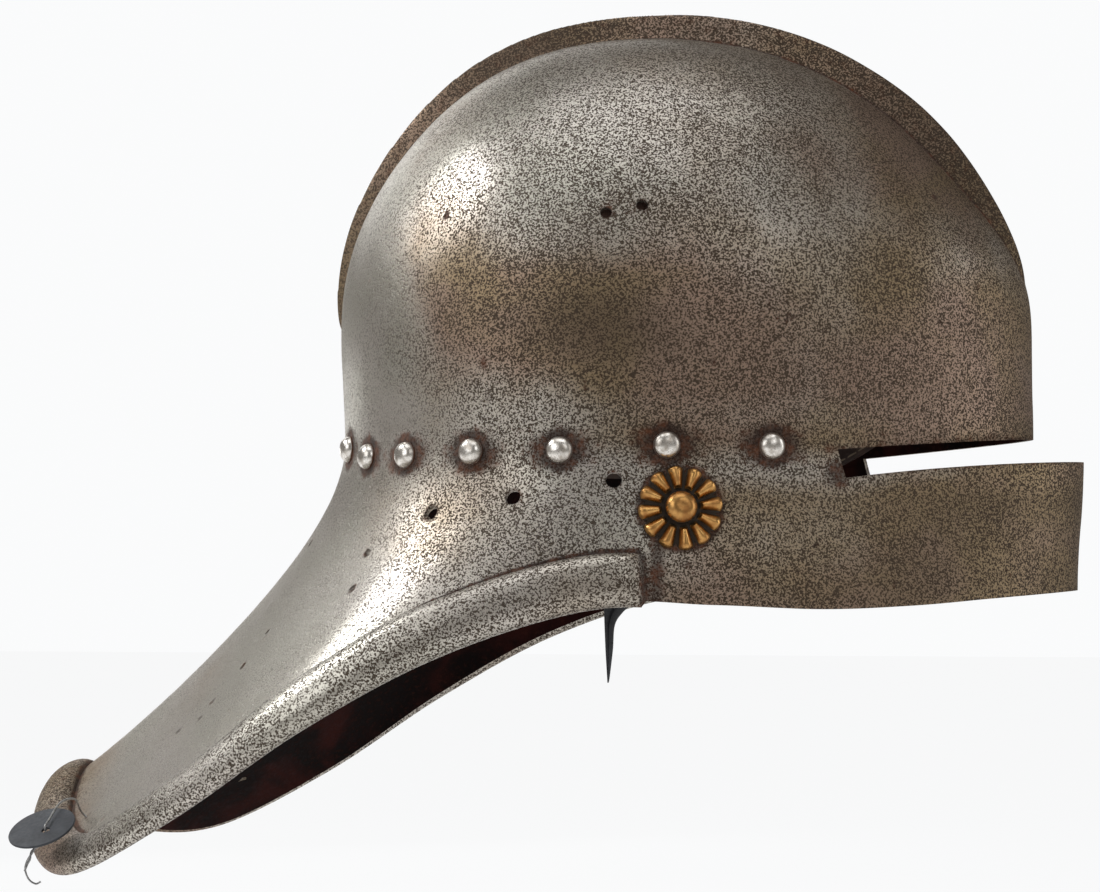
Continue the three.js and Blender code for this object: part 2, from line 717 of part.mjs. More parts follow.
// Depth, inwards from a seat, of the innermost point of a lining piece within a radius
const PROBE = 40;
function depthOf(mesh, { point, normal }, radius) {
  const inside = new THREE.Mesh(mesh.geometry, new THREE.MeshBasicMaterial({ side: THREE.DoubleSide }));
  const u = vec(0, 0, 1).cross(normal).normalize();
  const v = normal.clone().cross(u);
  const depths = [0.7, 1].flatMap((share) => Array.from({ length: 12 }, (_, i) => {
    const a = (2 * PI * i) / 12;
    const start = point.clone()
      .addScaledVector(u, share * radius * cos(a))
      .addScaledVector(v, share * radius * sin(a))
      .addScaledVector(normal, -PROBE);
    caster.set(start, normal);
    const [hit] = caster.intersectObject(inside);
    return hit ? PROBE - hit.distance : 0;
  }));
  return max(...depths);
}

function rivetGeometry(size, lift, grip, segments) {
  const { head, height, shank, butt } = size;
  return turned([
    [0, -grip - 1.2], [butt, -grip], [shank, -grip], [shank, lift], [head, lift],
    [head * 0.8, lift + 0.6 * height], [0, lift + height],
  ], segments);
}

function washerGeometry(outer, hole, top, segments) {
  const bottom = top + WASHER.thickness;
  const corners = [[hole, -bottom], [outer, -bottom], [outer, -top], [hole, -top], [hole, -bottom]];
  return turned(corners, segments);
}

for (const seat of rivets) {
  const lift = SEAM + rise(seat, RIVET.head);
  const top = depthOf(band, seat, WASHER.outer) + SEAM;
  const grip = top + WASHER.thickness + SEAM;
  const ring = washerGeometry(WASHER.outer, RIVET.shank + HOLE_CLEARANCE, top, 8);
  setOn(place(`rivet_${seat.id}`, rivetGeometry(RIVET, lift, grip, 8), materials.rivet), seat);
  setOn(place(`washer_${seat.id}`, ring, materials.iron), seat);
}

// ---- Rosettes ----

function rosetteGeometry(lift) {
  const bevel = ROSETTE.thickness / 4;
  const shape = new THREE.Shape();
  const steps = ROSETTE.petals * 4;
  for (let i = 0; i < steps; i += 1) {
    const a = (2 * PI * i) / steps;
    const petal = abs(sin((ROSETTE.petals * a) / 2)) ** 0.6;
    const r = mix(ROSETTE.valley, ROSETTE.outer, petal) - bevel;
    shape[i ? 'lineTo' : 'moveTo'](r * cos(a), r * sin(a));
  }
  const hole = new THREE.Path();
  hole.absarc(0, 0, BOSS.shank + HOLE_CLEARANCE + bevel, 0, 2 * PI, true);
  shape.holes.push(hole);
  const geometry = new THREE.ExtrudeGeometry(shape, {
    depth: ROSETTE.thickness - 2 * bevel,
    curveSegments: 5,
    bevelSegments: 1,
    bevelSize: bevel,
    bevelThickness: bevel,
  });
  return geometry.translate(0, 0, lift + bevel);
}

// ---- Chin straps ----

// A flat outline in x and z, bent to hang just inside the wall
function hangingLeather(side, outline, depthAt) {
  const shape = new THREE.Shape(outline.map(([x, z]) => new THREE.Vector2(x, z)));
  const settings = { depth: STRAP.thickness, bevelEnabled: false };
  const geometry = welded(new THREE.ExtrudeGeometry(shape, settings));
  const { position } = geometry.attributes;
  for (let i = 0; i < position.count; i += 1) {
    const [x, z, inwards] = [position.getX(i), position.getY(i), position.getZ(i)];
    position.setXYZ(i, x, side * (depthAt(x, z) - inwards), z);
  }
  return turnedOut(geometry);
}

const wallY = (side, x, z) => abs(fromSide(side, x, z).point.y);

function forkOutline(foot) {
  const half = ARM.half;
  const { x, z } = ROSETTE;
  return [
    [x - half, z + 5], [x, z + half], [x + half, z + 3], [x + half, z - 4], [STRAP.foot + 10, foot + 4],
    [STRAP.foot + half, foot], [STRAP.foot - half, foot], [STRAP.foot - 9, foot + 6],
    [ARM.rearX - half, ARM.rearZ - 3], [ARM.rearX - half, ARM.rearZ + 4], [ARM.rearX, ARM.rearZ + half],
    [ARM.rearX + half, ARM.rearZ + 3], [ARM.rearX + half + 2, ARM.rearZ - 6], [STRAP.foot - 2, z + 0.5],
    [STRAP.foot + 6, z - 2],
  ];
}

// Depth of the leather's outer face: along the wall above the rosette, straight down below it
function drape(side) {
  return (x, z) => wallY(side, x, max(z, ROSETTE.z + 3)) - STRAP.offset;
}

const footY = (side) => drape(side)(STRAP.foot, ROSETTE.z) - STRAP.thickness / 2;

function forkGeometry(side, foot) {
  const flat = hangingLeather(side, forkOutline(foot), drape(side));
  const rear = rivets.find(({ id }) => id === (side < 0 ? 'r3' : 'l3'));
  const own = rosettes.find((seat) => seat.side === side);
  return subtractAll(flat, [
    drill(rear, WASHER.outer + 2 * HOLE_CLEARANCE, DRILL_DEPTH.strap),
    drill(own, BOSS.shank + HOLE_CLEARANCE, DRILL_DEPTH.strap),
  ]);
}

// The hanging end narrows in a hollow curve to a point
function strapEndGeometry() {
  const top = STRAP_PIVOT.right - PIVOT_GAP;
  const outline = [
    [-18, top], [-16.9, -53], [-16.2, -62], [-15.7, -74], [-15, -85.5], [-14.5, -85.5], [-13.2, -73.8],
    [-12.5, -65], [-11.2, -61.8], [-9.2, -59.6], [-5.1, -56.2], [-4.3, top],
  ];
  return hangingLeather(-1, outline, () => footY(-1) + STRAP.thickness / 2);
}

place('chin_strap_right', strapEndGeometry(), materials.darkLeather);

// Left side: the fork's foot is folded round the buckle's bar
const BAR = { y: footY(1), z: STRAP_PIVOT.left };

// A short tube along X, centred on the origin
function tube(inner, outer, length) {
  const shape = new THREE.Shape();
  shape.absarc(0, 0, outer, 0, 2 * PI, false);
  const hole = new THREE.Path();
  hole.absarc(0, 0, inner, 0, 2 * PI, true);
  shape.holes.push(hole);
  const settings = { depth: length, bevelEnabled: false, curveSegments: 5 };
  return new THREE.ExtrudeGeometry(shape, settings).translate(0, 0, -length / 2).rotateY(PI / 2);
}

function leftForkGeometry() {
  const across = (x) => vec(STRAP.foot + x, BAR.y, BAR.z);
  const notch = rod(FOLD.notch, across(-FOLD.from), across(FOLD.from));
  const fold = tube(FOLD.inner, FOLD.inner + FOLD.wall, FOLD.to - FOLD.from);
  const fork = forkGeometry(1, STRAP_PIVOT.left + FOLD.inner + SEAM);
  let solid = toManifold(fork).subtract(toManifold(notch));
  for (const side of [-1, 1]) {
    const { x, y, z } = across((side * (FOLD.from + FOLD.to)) / 2);
    solid = solid.add(toManifold(fold).translate(x, y, z));
  }
  return fromManifold(solid);
}

const forks = {
  right: place('strap_fork_right', forkGeometry(-1, STRAP_PIVOT.right + PIVOT_GAP), materials.darkLeather),
  left: place('strap_fork_left', leftForkGeometry(), materials.darkLeather),
};

for (const seat of rosettes) {
  const lift = SEAM + rise(seat, ROSETTE.outer);
  const washerTop = depthOf(forks[seat.name], seat, BOSS_WASHER) + SEAM;
  const grip = washerTop + WASHER.thickness + SEAM;
  const rivet = rivetGeometry(BOSS, lift + ROSETTE.thickness + SEAM, grip, 12);
  const ring = washerGeometry(BOSS_WASHER, BOSS.shank + HOLE_CLEARANCE, washerTop, 10);
  setOn(place(`rosette_${seat.name}`, rosetteGeometry(lift), materials.brass), seat);
  setOn(place(`rosette_rivet_${seat.name}`, rivet, materials.brass), seat);
  setOn(place(`rosette_washer_${seat.name}`, ring, materials.iron), seat);
}

// Outline of the buckle: half the width on each side of the middle, with its lower corners cut off
function buckleOutline(path, w, top, low) {
  const { corner } = BUCKLE;
  return path
    .moveTo(-w, top)
    .lineTo(-w, low + corner)
    .lineTo(-w + corner, low)
    .lineTo(w - corner, low)
    .lineTo(w, low + corner)
    .lineTo(w, top);
}

function buckleGeometry() {
  const { width, height, rod: thick } = BUCKLE;
  const bar = thick / 2;
  const shape = buckleOutline(new THREE.Shape(), width / 2, bar, bar - height);
  shape.holes.push(buckleOutline(new THREE.Path(), width / 2 - thick, -bar, bar - height + thick));
  const geometry = new THREE.ExtrudeGeometry(shape, { depth: thick, bevelEnabled: false });
  return geometry.translate(0, 0, -bar).rotateX(PI / 2).translate(STRAP.foot, BAR.y, BAR.z);
}

place('buckle_frame', buckleGeometry(), materials.iron);

function tongueGeometry() {
  const eye = tube(FOLD.inner, FOLD.inner + TONGUE.eye, TONGUE.width);
  const root = vec(0, -FOLD.inner - TONGUE.eye / 2, 0);
  const beside = BUCKLE.rod / 2 + TONGUE.radius + SEAM;
  const tip = vec(0, -beside, 0.4 * BUCKLE.rod - BUCKLE.height);
  const blade = rod(TONGUE.radius, root, tip, 8);
  return fromManifold(toManifold(eye).add(toManifold(blade))).translate(STRAP.foot, BAR.y, BAR.z);
}

place('buckle_tongue', tongueGeometry(), materials.iron);

// ---- Inventory tag ----

const tag = new THREE.Group();
tag.position.copy(TAG.centre);
tag.quaternion.setFromUnitVectors(vec(0, 0, 1), TAG_NORMAL);
tag.updateMatrixWorld();
helmet.add(tag);

function tagGeometry() {
  const { radius, thickness } = TAG;
  const disc = turned([[0, 0], [radius, 0], [radius, thickness], [0, thickness]], 28);
  const eye = rod(TAG.hole, TAG_EYE.clone().setZ(-3), TAG_EYE.clone().setZ(3), 8);
  return subtractAll(disc, [eye]);
}

place('tag_disc', tagGeometry(), materials.tag, tag);

// The wire goes up through the tail's hole, over the tag's rim and down through its eye
function tagWireGeometry() {
  const eye = TAG_EYE.clone().setZ(TAG.thickness / 2).applyMatrix4(tag.matrixWorld);
  const { point, normal } = tagSeat;
  const off = (base, direction, distance) => base.clone().addScaledVector(direction, distance);
  const points = [
    off(point, normal, -5.5).add(vec(3, 3, 0)),
    off(point, normal, -4.5),
    off(point, normal, -1),
    off(point, normal, 3),
    point.clone().lerp(eye, 0.3).add(vec(0, 0, 8)),
    point.clone().lerp(eye, 0.65).add(vec(0, 0, 8.5)),
    off(eye, TAG_NORMAL, 3.2).add(vec(0.6, 4.5, 1)),
    off(eye, TAG_NORMAL, 1.5),
    off(eye, TAG_NORMAL, -3),
  ];
  return wireAlong(points, TAG_WIRE_RADIUS, 30, 6);
}

place('tag_wire', tagWireGeometry(), materials.iron);

export default helmet;
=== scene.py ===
import math

import bmesh
import bpy
import numpy as np
from mathutils import Matrix, Vector
from mathutils.bvhtree import BVHTree


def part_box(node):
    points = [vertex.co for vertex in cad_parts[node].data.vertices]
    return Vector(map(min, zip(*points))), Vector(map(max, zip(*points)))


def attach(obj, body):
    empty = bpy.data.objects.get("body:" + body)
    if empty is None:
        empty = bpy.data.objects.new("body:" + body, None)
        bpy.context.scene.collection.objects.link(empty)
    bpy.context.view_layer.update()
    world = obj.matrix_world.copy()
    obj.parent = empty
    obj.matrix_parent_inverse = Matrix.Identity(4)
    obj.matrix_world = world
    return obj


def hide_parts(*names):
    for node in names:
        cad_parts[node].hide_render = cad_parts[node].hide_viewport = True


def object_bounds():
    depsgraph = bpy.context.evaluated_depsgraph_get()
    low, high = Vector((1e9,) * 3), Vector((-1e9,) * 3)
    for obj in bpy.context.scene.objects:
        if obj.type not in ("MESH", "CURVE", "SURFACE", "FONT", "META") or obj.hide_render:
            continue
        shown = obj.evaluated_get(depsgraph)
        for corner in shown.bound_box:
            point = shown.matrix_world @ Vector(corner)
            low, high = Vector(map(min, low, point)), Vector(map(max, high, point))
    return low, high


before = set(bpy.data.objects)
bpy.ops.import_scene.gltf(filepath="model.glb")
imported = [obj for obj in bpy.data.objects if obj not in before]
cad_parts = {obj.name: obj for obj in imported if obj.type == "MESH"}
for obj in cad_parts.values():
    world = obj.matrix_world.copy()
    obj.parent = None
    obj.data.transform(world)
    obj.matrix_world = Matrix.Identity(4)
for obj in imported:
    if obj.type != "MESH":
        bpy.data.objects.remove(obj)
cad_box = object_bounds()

# Shapes are worked out in millimetres, in the frame's axes: +X forward, +Y the wearer's left, +Z up.
MM = 0.001
PLATE = 2.0

# ---------------------------------------------------------------- driving dimensions

HALF_WIDTH, WIDEST_X, BROW_X, NAPE_X = 108.0, -22.0, 132.2, -130.0
BROW_POWER, NAPE_POWER = 1.6, 2.0
CROWN_X, CROWN_Z = -8.0, 156.0
DOME_FRONT, DOME_SIDE, DOME_REAR = 2.1, 2.2, 2.55
NAPE_BULGE, NAPE_BULGE_TOP = 5.2, 140.0
BROW_BULGE, BROW_BULGE_HEIGHT, BROW_BULGE_SPREAD = 7.0, 65.0, 30.0

SLIT_END = math.radians(52.5)
LIP_X, LIP_HALF_WIDTH, LIP_BLEND = 151.0, 110.5, math.radians(26)
SLIT_TOP_BROW, SLIT_TOP_END = 2.5, -2.7
SLIT_BOTTOM_LIP, SLIT_BOTTOM_END = -6.0, -13.4
SLIT_ROW = 0.2
SLIT_SLANT, SLANT_REACH = math.radians(1.5), math.radians(4)

# Lower edge of the right half, every 15 degrees of plan angle from the lip to the tail
EDGE = np.array([
    (148.5, 0, -54), (136, -27, -55), (116, -51, -56.5), (91, -72, -58.5), (60, -91, -59.5),
    (23, -107.5, -57.8), (-20, -118.5, -57.5), (-72, -128.5, -74), (-121.5, -131.5, -100.7),
    (-167.5, -123.5, -131.4), (-212, -99.5, -154), (-239, -52, -149), (-247, 0, -132.5),
], float)

COMB_HEIGHT, COMB_HALF_WIDTH, COMB_FRONT, COMB_REAR = 10.4, 6.6, 24.0, 160.0
BORDER_FROM, BORDER_WIDE, BORDER_NARROW, BORDER_HEIGHT = math.radians(83.6), 17.0, 16.0, 6.0
BORDER_OVERHANG, BORDER_TUCK, ROLL_SHARE = 2.3, 1.9, 0.704

RIVET_HEAD, RIVET_HEIGHT = 5.0, 3.9
# Each lining rivet of one side: its way round the waist from the slit's end, and its drop
RIVET_SEATS = (
    (25.5, 1.8), (63.6, 1.6), (101.5, 3.4), (135.7, 3.7), (167.5, 4.4), (194, 4.4), (217.5, 1.3),
)
ROSETTE_X, ROSETTE_Z, ROSETTE_RADIUS, PETALS, PETAL_HALF = 10.9, -23.9, 15.2, 12, 0.38
BOSS_RADIUS, BOSS_HEIGHT = 5.7, 4.6

BAND_HALF, BAND_THICKNESS, BAND_GAP, BAND_RISE = 9.0, 1.8, 0.6, 17.0
LINER_GAP, LINER_THICKNESS, LINER_LIFT = 1.6, 10.0, 2.5

STRAP_THICKNESS, STRAP_OFFSET, STRAP_FOOT = 2.2, 5.0, -15.0
PIVOT_RIGHT, PIVOT_LEFT, PIVOT_GAP = -45.0, -37.6, 1.0
ARM_HALF, ARM_X, ARM_Z = 7.0, -32.1, -3.4
BUCKLE_WIDTH, BUCKLE_HEIGHT, BUCKLE_ROD = 24.0, 18.0, 2.4

TAG_RADIUS, TAG_THICKNESS, TAG_EYE = 12.5, 1.0, (2.2, -2.3)
TAG_CENTRE = (-222.5, -100.0, -140.0)
TAG_NORMAL = Vector((-0.16, -0.47, 0.87)).normalized()
TAG_HOLE, LEFT_HOLE = (-216.8, -64.0), (-196.5, 87.7)

# Open holes of one side, by x and z on the side or by x and y on the tail, with their radii
SIDE_HOLES = (
    (-16.4, 81.4, 2.2), (-3.8, 84.0, 2.2), (-12.2, -14.0, 2.8), (-48.1, -19.9, 2.8),
    (-79.2, -25.4, 2.8), (-104.4, -39.8, 1.9), (-107.8, -52.6, 1.9),
)
TAIL_HOLES = ((-138.2, 34.4, 1.7), (-148.1, 63.2, 1.8), (-156.2, 67.4, 1.8), (-206.0, 78.9, 1.5))

# Small stains of one side: x, z, reach and strength on the side, x and y on the tail
SIDE_STAINS = (
    (-77, 82.6, 1.2, 0.9), (97, 91.6, 1.6, 0.8), (99, 66.6, 1.8, 0.6), (-60, 28, 1.5, 0.6),
    (-58, 16, 2.2, 0.55), (-94, 20, 1.6, 0.5), (22, 28, 1.2, 0.6), (-104, 30, 1.4, 0.5),
    (38, 64, 1.0, 0.5),
)
TAIL_STAINS = ((-167.5, 68.7), (-171.2, 72), (-182.3, 61.9))

# Fineness of the plate's grid, in millimetres and degrees
ROW_STEP = 1.15
COLUMN_STEP, MIDDLE_STEP = 0.55, 0.25
SLIT_ROWS, SKIRT_ROWS, BORDER_ROWS = 12, 88, 26
CAP_AROUND, CAP_ROWS, CHANNELS = 320, 84, 20


# ---------------------------------------------------------------- the steel's outer surface

def smooth(t):
    t = np.clip(t, 0, 1)
    return t * t * (3 - 2 * t)


def mix(a, b, t):
    return a + (b - a) * t


def xyz(x, y, z):
    return np.stack(np.broadcast_arrays(x, y, z), -1).astype(float)


def from_front(angle):
    return np.minimum(angle, 2 * np.pi - angle)


def oval(angle, tip_x, half_width):
    c, s = np.cos(angle), np.sin(angle)
    reach = np.where(c > 0, tip_x - WIDEST_X, WIDEST_X - NAPE_X)
    power = np.where(c > 0, BROW_POWER, NAPE_POWER)
    r = (np.abs(c) ** power + np.abs(s) ** power) ** (-1 / power)
    return WIDEST_X + reach * c * r, -half_width * s * r


def brow_height(angle):
    t = from_front(angle) / SLIT_END
    ahead = mix(SLIT_TOP_BROW, SLIT_TOP_END, np.clip(t, 0, 1) ** 1.5)
    return np.where(t < 1, ahead, SLIT_TOP_END * (1 - smooth((t - 1) / 0.5)))


def bowl(angle, u):
    x, y = oval(angle, BROW_X, HALF_WIDTH)
    end = np.where(np.cos(angle) > 0, DOME_FRONT, DOME_REAR)
    power = end + (DOME_SIDE - end) * np.sin(angle) ** 2
    s = np.sin(u) ** (2 / power)
    z = CROWN_Z * np.abs(np.cos(u)) ** (2 / power)
    rear = (1 - np.cos(angle)) / 2
    bulge = NAPE_BULGE * rear * np.sin(np.pi * np.minimum(z / NAPE_BULGE_TOP, 1)) ** 2
    front = np.maximum(np.cos(angle), 0) ** 2
    bulge = bulge + BROW_BULGE * front * np.exp(-((z - BROW_BULGE_HEIGHT) / BROW_BULGE_SPREAD) ** 2)
    low = brow_height(angle) * (1 - smooth(z / 30))
    return xyz(CROWN_X + (x - CROWN_X) * s + bulge * np.cos(angle), y * s - bulge * np.sin(angle), z + low)


EDGE_LOOP = np.vstack([EDGE, EDGE[-2:0:-1] * (1, -1, 1)])


def edge_curve(angle):
    """Catmull-Rom curve through the lower edge's points, and its direction."""
    count = len(EDGE_LOOP)
    at = np.asarray(angle) / (2 * np.pi) * count
    first = np.floor(at).astype(int)
    t = (at - first)[..., None]
    p = [EDGE_LOOP[(first + k) % count] for k in (-1, 0, 1, 2)]
    m1, m2 = (p[2] - p[0]) / 2, (p[3] - p[1]) / 2
    c2 = -3 * p[1] + 3 * p[2] - 2 * m1 - m2
    c3 = 2 * p[1] - 2 * p[2] + m1 + m2
    along = m1 + 2 * c2 * t + 3 * c3 * t * t
    return p[1] + m1 * t + c2 * t * t + c3 * t ** 3, unit(along)


def unit(v):
    return v / np.maximum(np.linalg.norm(v, axis=-1, keepdims=True), 1e-12)


def bezier(p0, p1, p2, p3, t):
    t = np.asarray(t)[..., None]
    s = 1 - t
    return s ** 3 * p0 + 3 * s * s * t * p1 + 3 * s * t * t * p2 + t ** 3 * p3


def flare(angle, v):
    x, y = oval(angle, BROW_X, HALF_WIDTH)
    top = xyz(x, y, 0.0 * x)
    edge, _ = edge_curve(angle)
    span = np.linalg.norm(edge - top, axis=-1)
    rear = smooth((from_front(angle) - math.radians(80)) / math.radians(100))
    out = unit((edge - top) * (1, 1, 0))
    slope = np.radians(mix(82.0, 35.0, rear))
    first = top + xyz(0, 0, -span * mix(0.33, 0.16, rear))
    last = edge - out * (0.36 * span * np.cos(slope))[..., None] + xyz(0, 0, 0.36 * span * np.sin(slope))
    return bezier(top, first, last, edge, v)


def lip(angle, w):
    t = np.minimum(from_front(angle) / SLIT_END, 1)
    ahead = 1 - smooth(t)
    c, s = np.cos(angle), np.sin(angle)
    tip, half = mix(BROW_X, LIP_X, ahead), mix(HALF_WIDTH, LIP_HALF_WIDTH, ahead)
    r = (np.abs(c) ** BROW_POWER + np.abs(s) ** BROW_POWER) ** (-1 / BROW_POWER)
    x = WIDEST_X + (tip - WIDEST_X) * np.abs(c) * r
    top = xyz(x, -half * s * r, mix(SLIT_BOTTOM_LIP, SLIT_BOTTOM_END, t ** 2))
    edge, _ = edge_curve(angle)
    third = (top[..., 2] - edge[..., 2]) / 3
    return bezier(top, top - xyz(0, 0, third), edge + xyz(0, 0, third), edge, w)


def skirt(angle, v):
    angle, v = np.broadcast_arrays(angle, v)
    rear = flare(angle, v)
    blend = smooth((from_front(angle) - SLIT_END) / LIP_BLEND)[..., None]
    w = (v - SLIT_ROW) / (1 - SLIT_ROW)
    above = np.clip(1 - v / SLIT_ROW, 0, 1)[..., None]
    front = mix(lip(angle, np.maximum(w, 0)), bowl(angle, np.full_like(v, np.pi / 2)), above)
    return mix(front, rear, blend)


def normals(surface, angle, t, low, high):
    """Outward normals of surface(angle, t)."""
    da, dt = 1e-3, 1e-3 * (high - low)
    across = surface((angle + da) % (2 * np.pi), t) - surface((angle - da) % (2 * np.pi), t)
    down = surface(angle, np.minimum(t + dt, high)) - surface(angle, np.maximum(t - dt, low))
    return unit(np.cross(across, down))


def border_width(angle):
    return mix(BORDER_WIDE, BORDER_NARROW, smooth((from_front(angle) - math.radians(100)) / math.radians(60)))


def v_at_distance(angle, distance):
    """The skirt's v at a distance from the lower edge, measured square to the edge."""
    angle, distance = np.broadcast_arrays(angle, distance)
    edge = skirt(angle, np.ones_like(angle))
    _, along = edge_curve(angle)
    low, high = np.zeros_like(angle), np.ones_like(angle)
    for _ in range(22):
        v = (low + high) / 2
        d = skirt(angle, v) - edge
        d -= along * (d * along).sum(-1, keepdims=True)
        far = np.linalg.norm(d, axis=-1) > distance
        low, high = np.where(far, v, low), np.where(far, high, v)
    return (low + high) / 2


def comb_height(tilt):
    rise = np.clip((tilt - COMB_FRONT) / 30, 0, 1)
    fall = np.clip((tilt - 70) / (COMB_REAR - 70), 0, 1)
    return COMB_HEIGHT * np.sin(rise * np.pi / 2) * np.abs(np.cos(fall * np.pi / 2)) ** 0.35


def waves(p, size, seed, octaves=3):
    """Smooth, repeatable unevenness of about -1 to 1 over points in millimetres."""
    dice = np.random.default_rng(seed)
    total = np.zeros(p.shape[:-1])
    for octave in range(octaves):
        for _ in range(5):
            k = unit(dice.normal(size=3)) * 2 * np.pi / (size / 2 ** octave) * dice.uniform(0.6, 1.4)
            total += np.sin(p @ k + dice.uniform(0, 2 * np.pi)) / 2 ** octave
    return total / 5


# ---------------------------------------------------------------- meshes

def make_object(name, vertices, faces):
    mesh = bpy.data.meshes.new(name)
    if isinstance(faces, np.ndarray):
        mesh.vertices.add(len(vertices))
        mesh.vertices.foreach_set("co", (np.asarray(vertices) * MM).astype(np.float32).ravel())
        mesh.loops.add(faces.size)
        mesh.loops.foreach_set("vertex_index", faces.astype(np.int32).ravel())
        mesh.polygons.add(len(faces))
        starts = np.arange(0, faces.size, faces.shape[1], dtype=np.int32)
        mesh.polygons.foreach_set("loop_start", starts)
        mesh.update(calc_edges=True)
        mesh.validate()
    else:
        mesh.from_pydata([tuple(np.asarray(v) * MM) for v in vertices], [], faces)
        mesh.update()
    return link(bpy.data.objects.new(name, mesh))


def link(item):
    bpy.context.scene.collection.objects.link(item)
    return item


def shade(piece, angle=35):
    piece.data.polygons.foreach_set("use_smooth", [True] * len(piece.data.polygons))
    piece.data.set_sharp_from_angle(angle=math.radians(angle))


def add_attribute(piece, name, values):
    layer = piece.data.attributes.new(name, "FLOAT", "POINT")
    layer.data.foreach_set("value", np.asarray(values, np.float32))


def grid_faces(rows, columns, looped=False, offset=0):
    """Quads of a grid whose columns close on themselves, as its rows do when looped."""
    r, c = np.arange(rows if looped else rows - 1)[:, None], np.arange(columns)
    below, right = (r + 1) % rows, (c + 1) % columns
    corners = r * columns + c, below * columns + c, below * columns + right, r * columns + right
    return np.stack(np.broadcast_arrays(*corners), -1).reshape(-1, 4) + offset


def merge(name, parts):
    """One object from a list of (vertices, faces)."""
    vertices, faces, offset = [], [], 0
    for points, quads in parts:
        vertices.extend(map(tuple, points))
        faces.extend([tuple(int(i) + offset for i in f) for f in quads])
        offset += len(points)
    return make_object(name, vertices, faces)


def turned(profile, segments):
    """Closed solid of a [radius, height] profile turned about +Z, from axis to axis."""
    angles = np.linspace(0, 2 * np.pi, segments, endpoint=False)
    vertices, rings = [], []
    for radius, height in profile:
        if radius < 1e-6:
            rings.append([len(vertices)])
            vertices.append((0.0, 0.0, height))
        else:
            rings.append(list(range(len(vertices), len(vertices) + segments)))
            vertices.extend((radius * math.cos(a), radius * math.sin(a), height) for a in angles)
    return np.array(vertices), ring_faces(rings)


def ring_faces(rings):
    faces = []
    for low, high in zip(rings, rings[1:]):
        count = max(len(low), len(high))
        for i in range(count):
            j = (i + 1) % count
            if len(low) == 1:
                faces.append((low[0], high[j], high[i]))
            elif len(high) == 1:
                faces.append((low[i], low[j], high[0]))
            else:
                faces.append((low[i], low[j], high[j], high[i]))
    return faces


def washer_ring(outer, inner, top, bottom, segments=28, soft=0.2):
    """A flat ring about +Z with eased edges."""
    section = [
        (inner, bottom), (outer - soft, bottom), (outer, bottom + soft), (outer, top - soft),
        (outer - soft, top), (inner, top),
    ]
    angles = np.linspace(0, 2 * np.pi, segments, endpoint=False)
    vertices = np.array([(r * math.cos(a), r * math.sin(a), h) for a in angles for r, h in section])
    return vertices, grid_faces(segments, len(section), True)


def swept(path, radius, sides=10, closed=False):
    """A round rod along a list of points, without twist."""
    path = np.asarray(path, float)
    count = len(path)
    along = unit(np.roll(path, -1, 0) - np.roll(path, 1, 0)) if closed else unit(np.gradient(path, axis=0))
    side = unit(np.cross(along[0], (0.3, 0.2, 0.93)))
    radii = np.broadcast_to(radius, count)
    rings = []
    for i in range(count):
        side = unit(side - along[i] * (side @ along[i]))
        up = np.cross(along[i], side)
        a = np.linspace(0, 2 * np.pi, sides, endpoint=False)[:, None]
        rings.append(path[i] + radii[i] * (np.cos(a) * side + np.sin(a) * up))
    vertices = np.concatenate(rings)
    faces = [tuple(f) for f in grid_faces(count, sides, closed)[:, [0, 3, 2, 1]]]
    if not closed:
        faces += [tuple(range(sides))[::-1], tuple(range((count - 1) * sides, count * sides))]
    return vertices, faces


def spline(points, steps, closed=False):
    """A smooth curve through a few points."""
    p = np.asarray(points, float)
    p = np.vstack([p[-1:], p, p[:2]] if closed else [2 * p[0] - p[1], p, 2 * p[-1] - p[-2]])
    t = np.linspace(0, 1, steps, endpoint=False)[:, None]
    spans = [
        0.5 * (2 * b + (c - a) * t + (2 * a - 5 * b + 4 * c - d) * t * t + (3 * b - a - 3 * c + d) * t ** 3)
        for a, b, c, d in zip(p, p[1:], p[2:], p[3:])
    ]
    return np.concatenate(spans if closed else [*spans, p[-2:-1]])


def placed(part, point, normal, turn=0.0):
    """Moves a (vertices, faces) part made about +Z onto a seat."""
    vertices, faces = part
    spin = Matrix.Rotation(turn, 3, "Z")
    tilt = Vector((0, 0, 1)).rotation_difference(Vector(normal)).to_matrix()
    return np.asarray(vertices) @ np.array(tilt @ spin).T + np.asarray(point), faces


def extruded(outline, depth, bevel=0.35):
    """A flat outline in (x, z) given thickness along +Y, as (vertices, faces), edges eased."""
    outline = np.asarray(outline, float)
    area = np.sum(outline[:, 0] * np.roll(outline[:, 1], -1) - np.roll(outline[:, 0], -1) * outline[:, 1])
    if area < 0:
        outline = outline[::-1]
    tangent = unit(np.roll(outline, -1, 0) - np.roll(outline, 1, 0))
    inward = np.stack([-tangent[:, 1], tangent[:, 0]], -1)
    levels = [(0, bevel), (bevel, 0), (depth - bevel, 0), (depth, bevel)]
    count = len(outline)
    vertices = np.concatenate([
        xyz(outline[:, 0] + inward[:, 0] * pull, y, outline[:, 1] + inward[:, 1] * pull) for y, pull in levels
    ])
    faces = [tuple(f) for f in grid_faces(4, count)[:, [0, 3, 2, 1]]]
    return vertices, [*faces, tuple(range(count))[::-1], tuple(range(3 * count, 4 * count))]


# ---------------------------------------------------------------- node helpers for the finishes

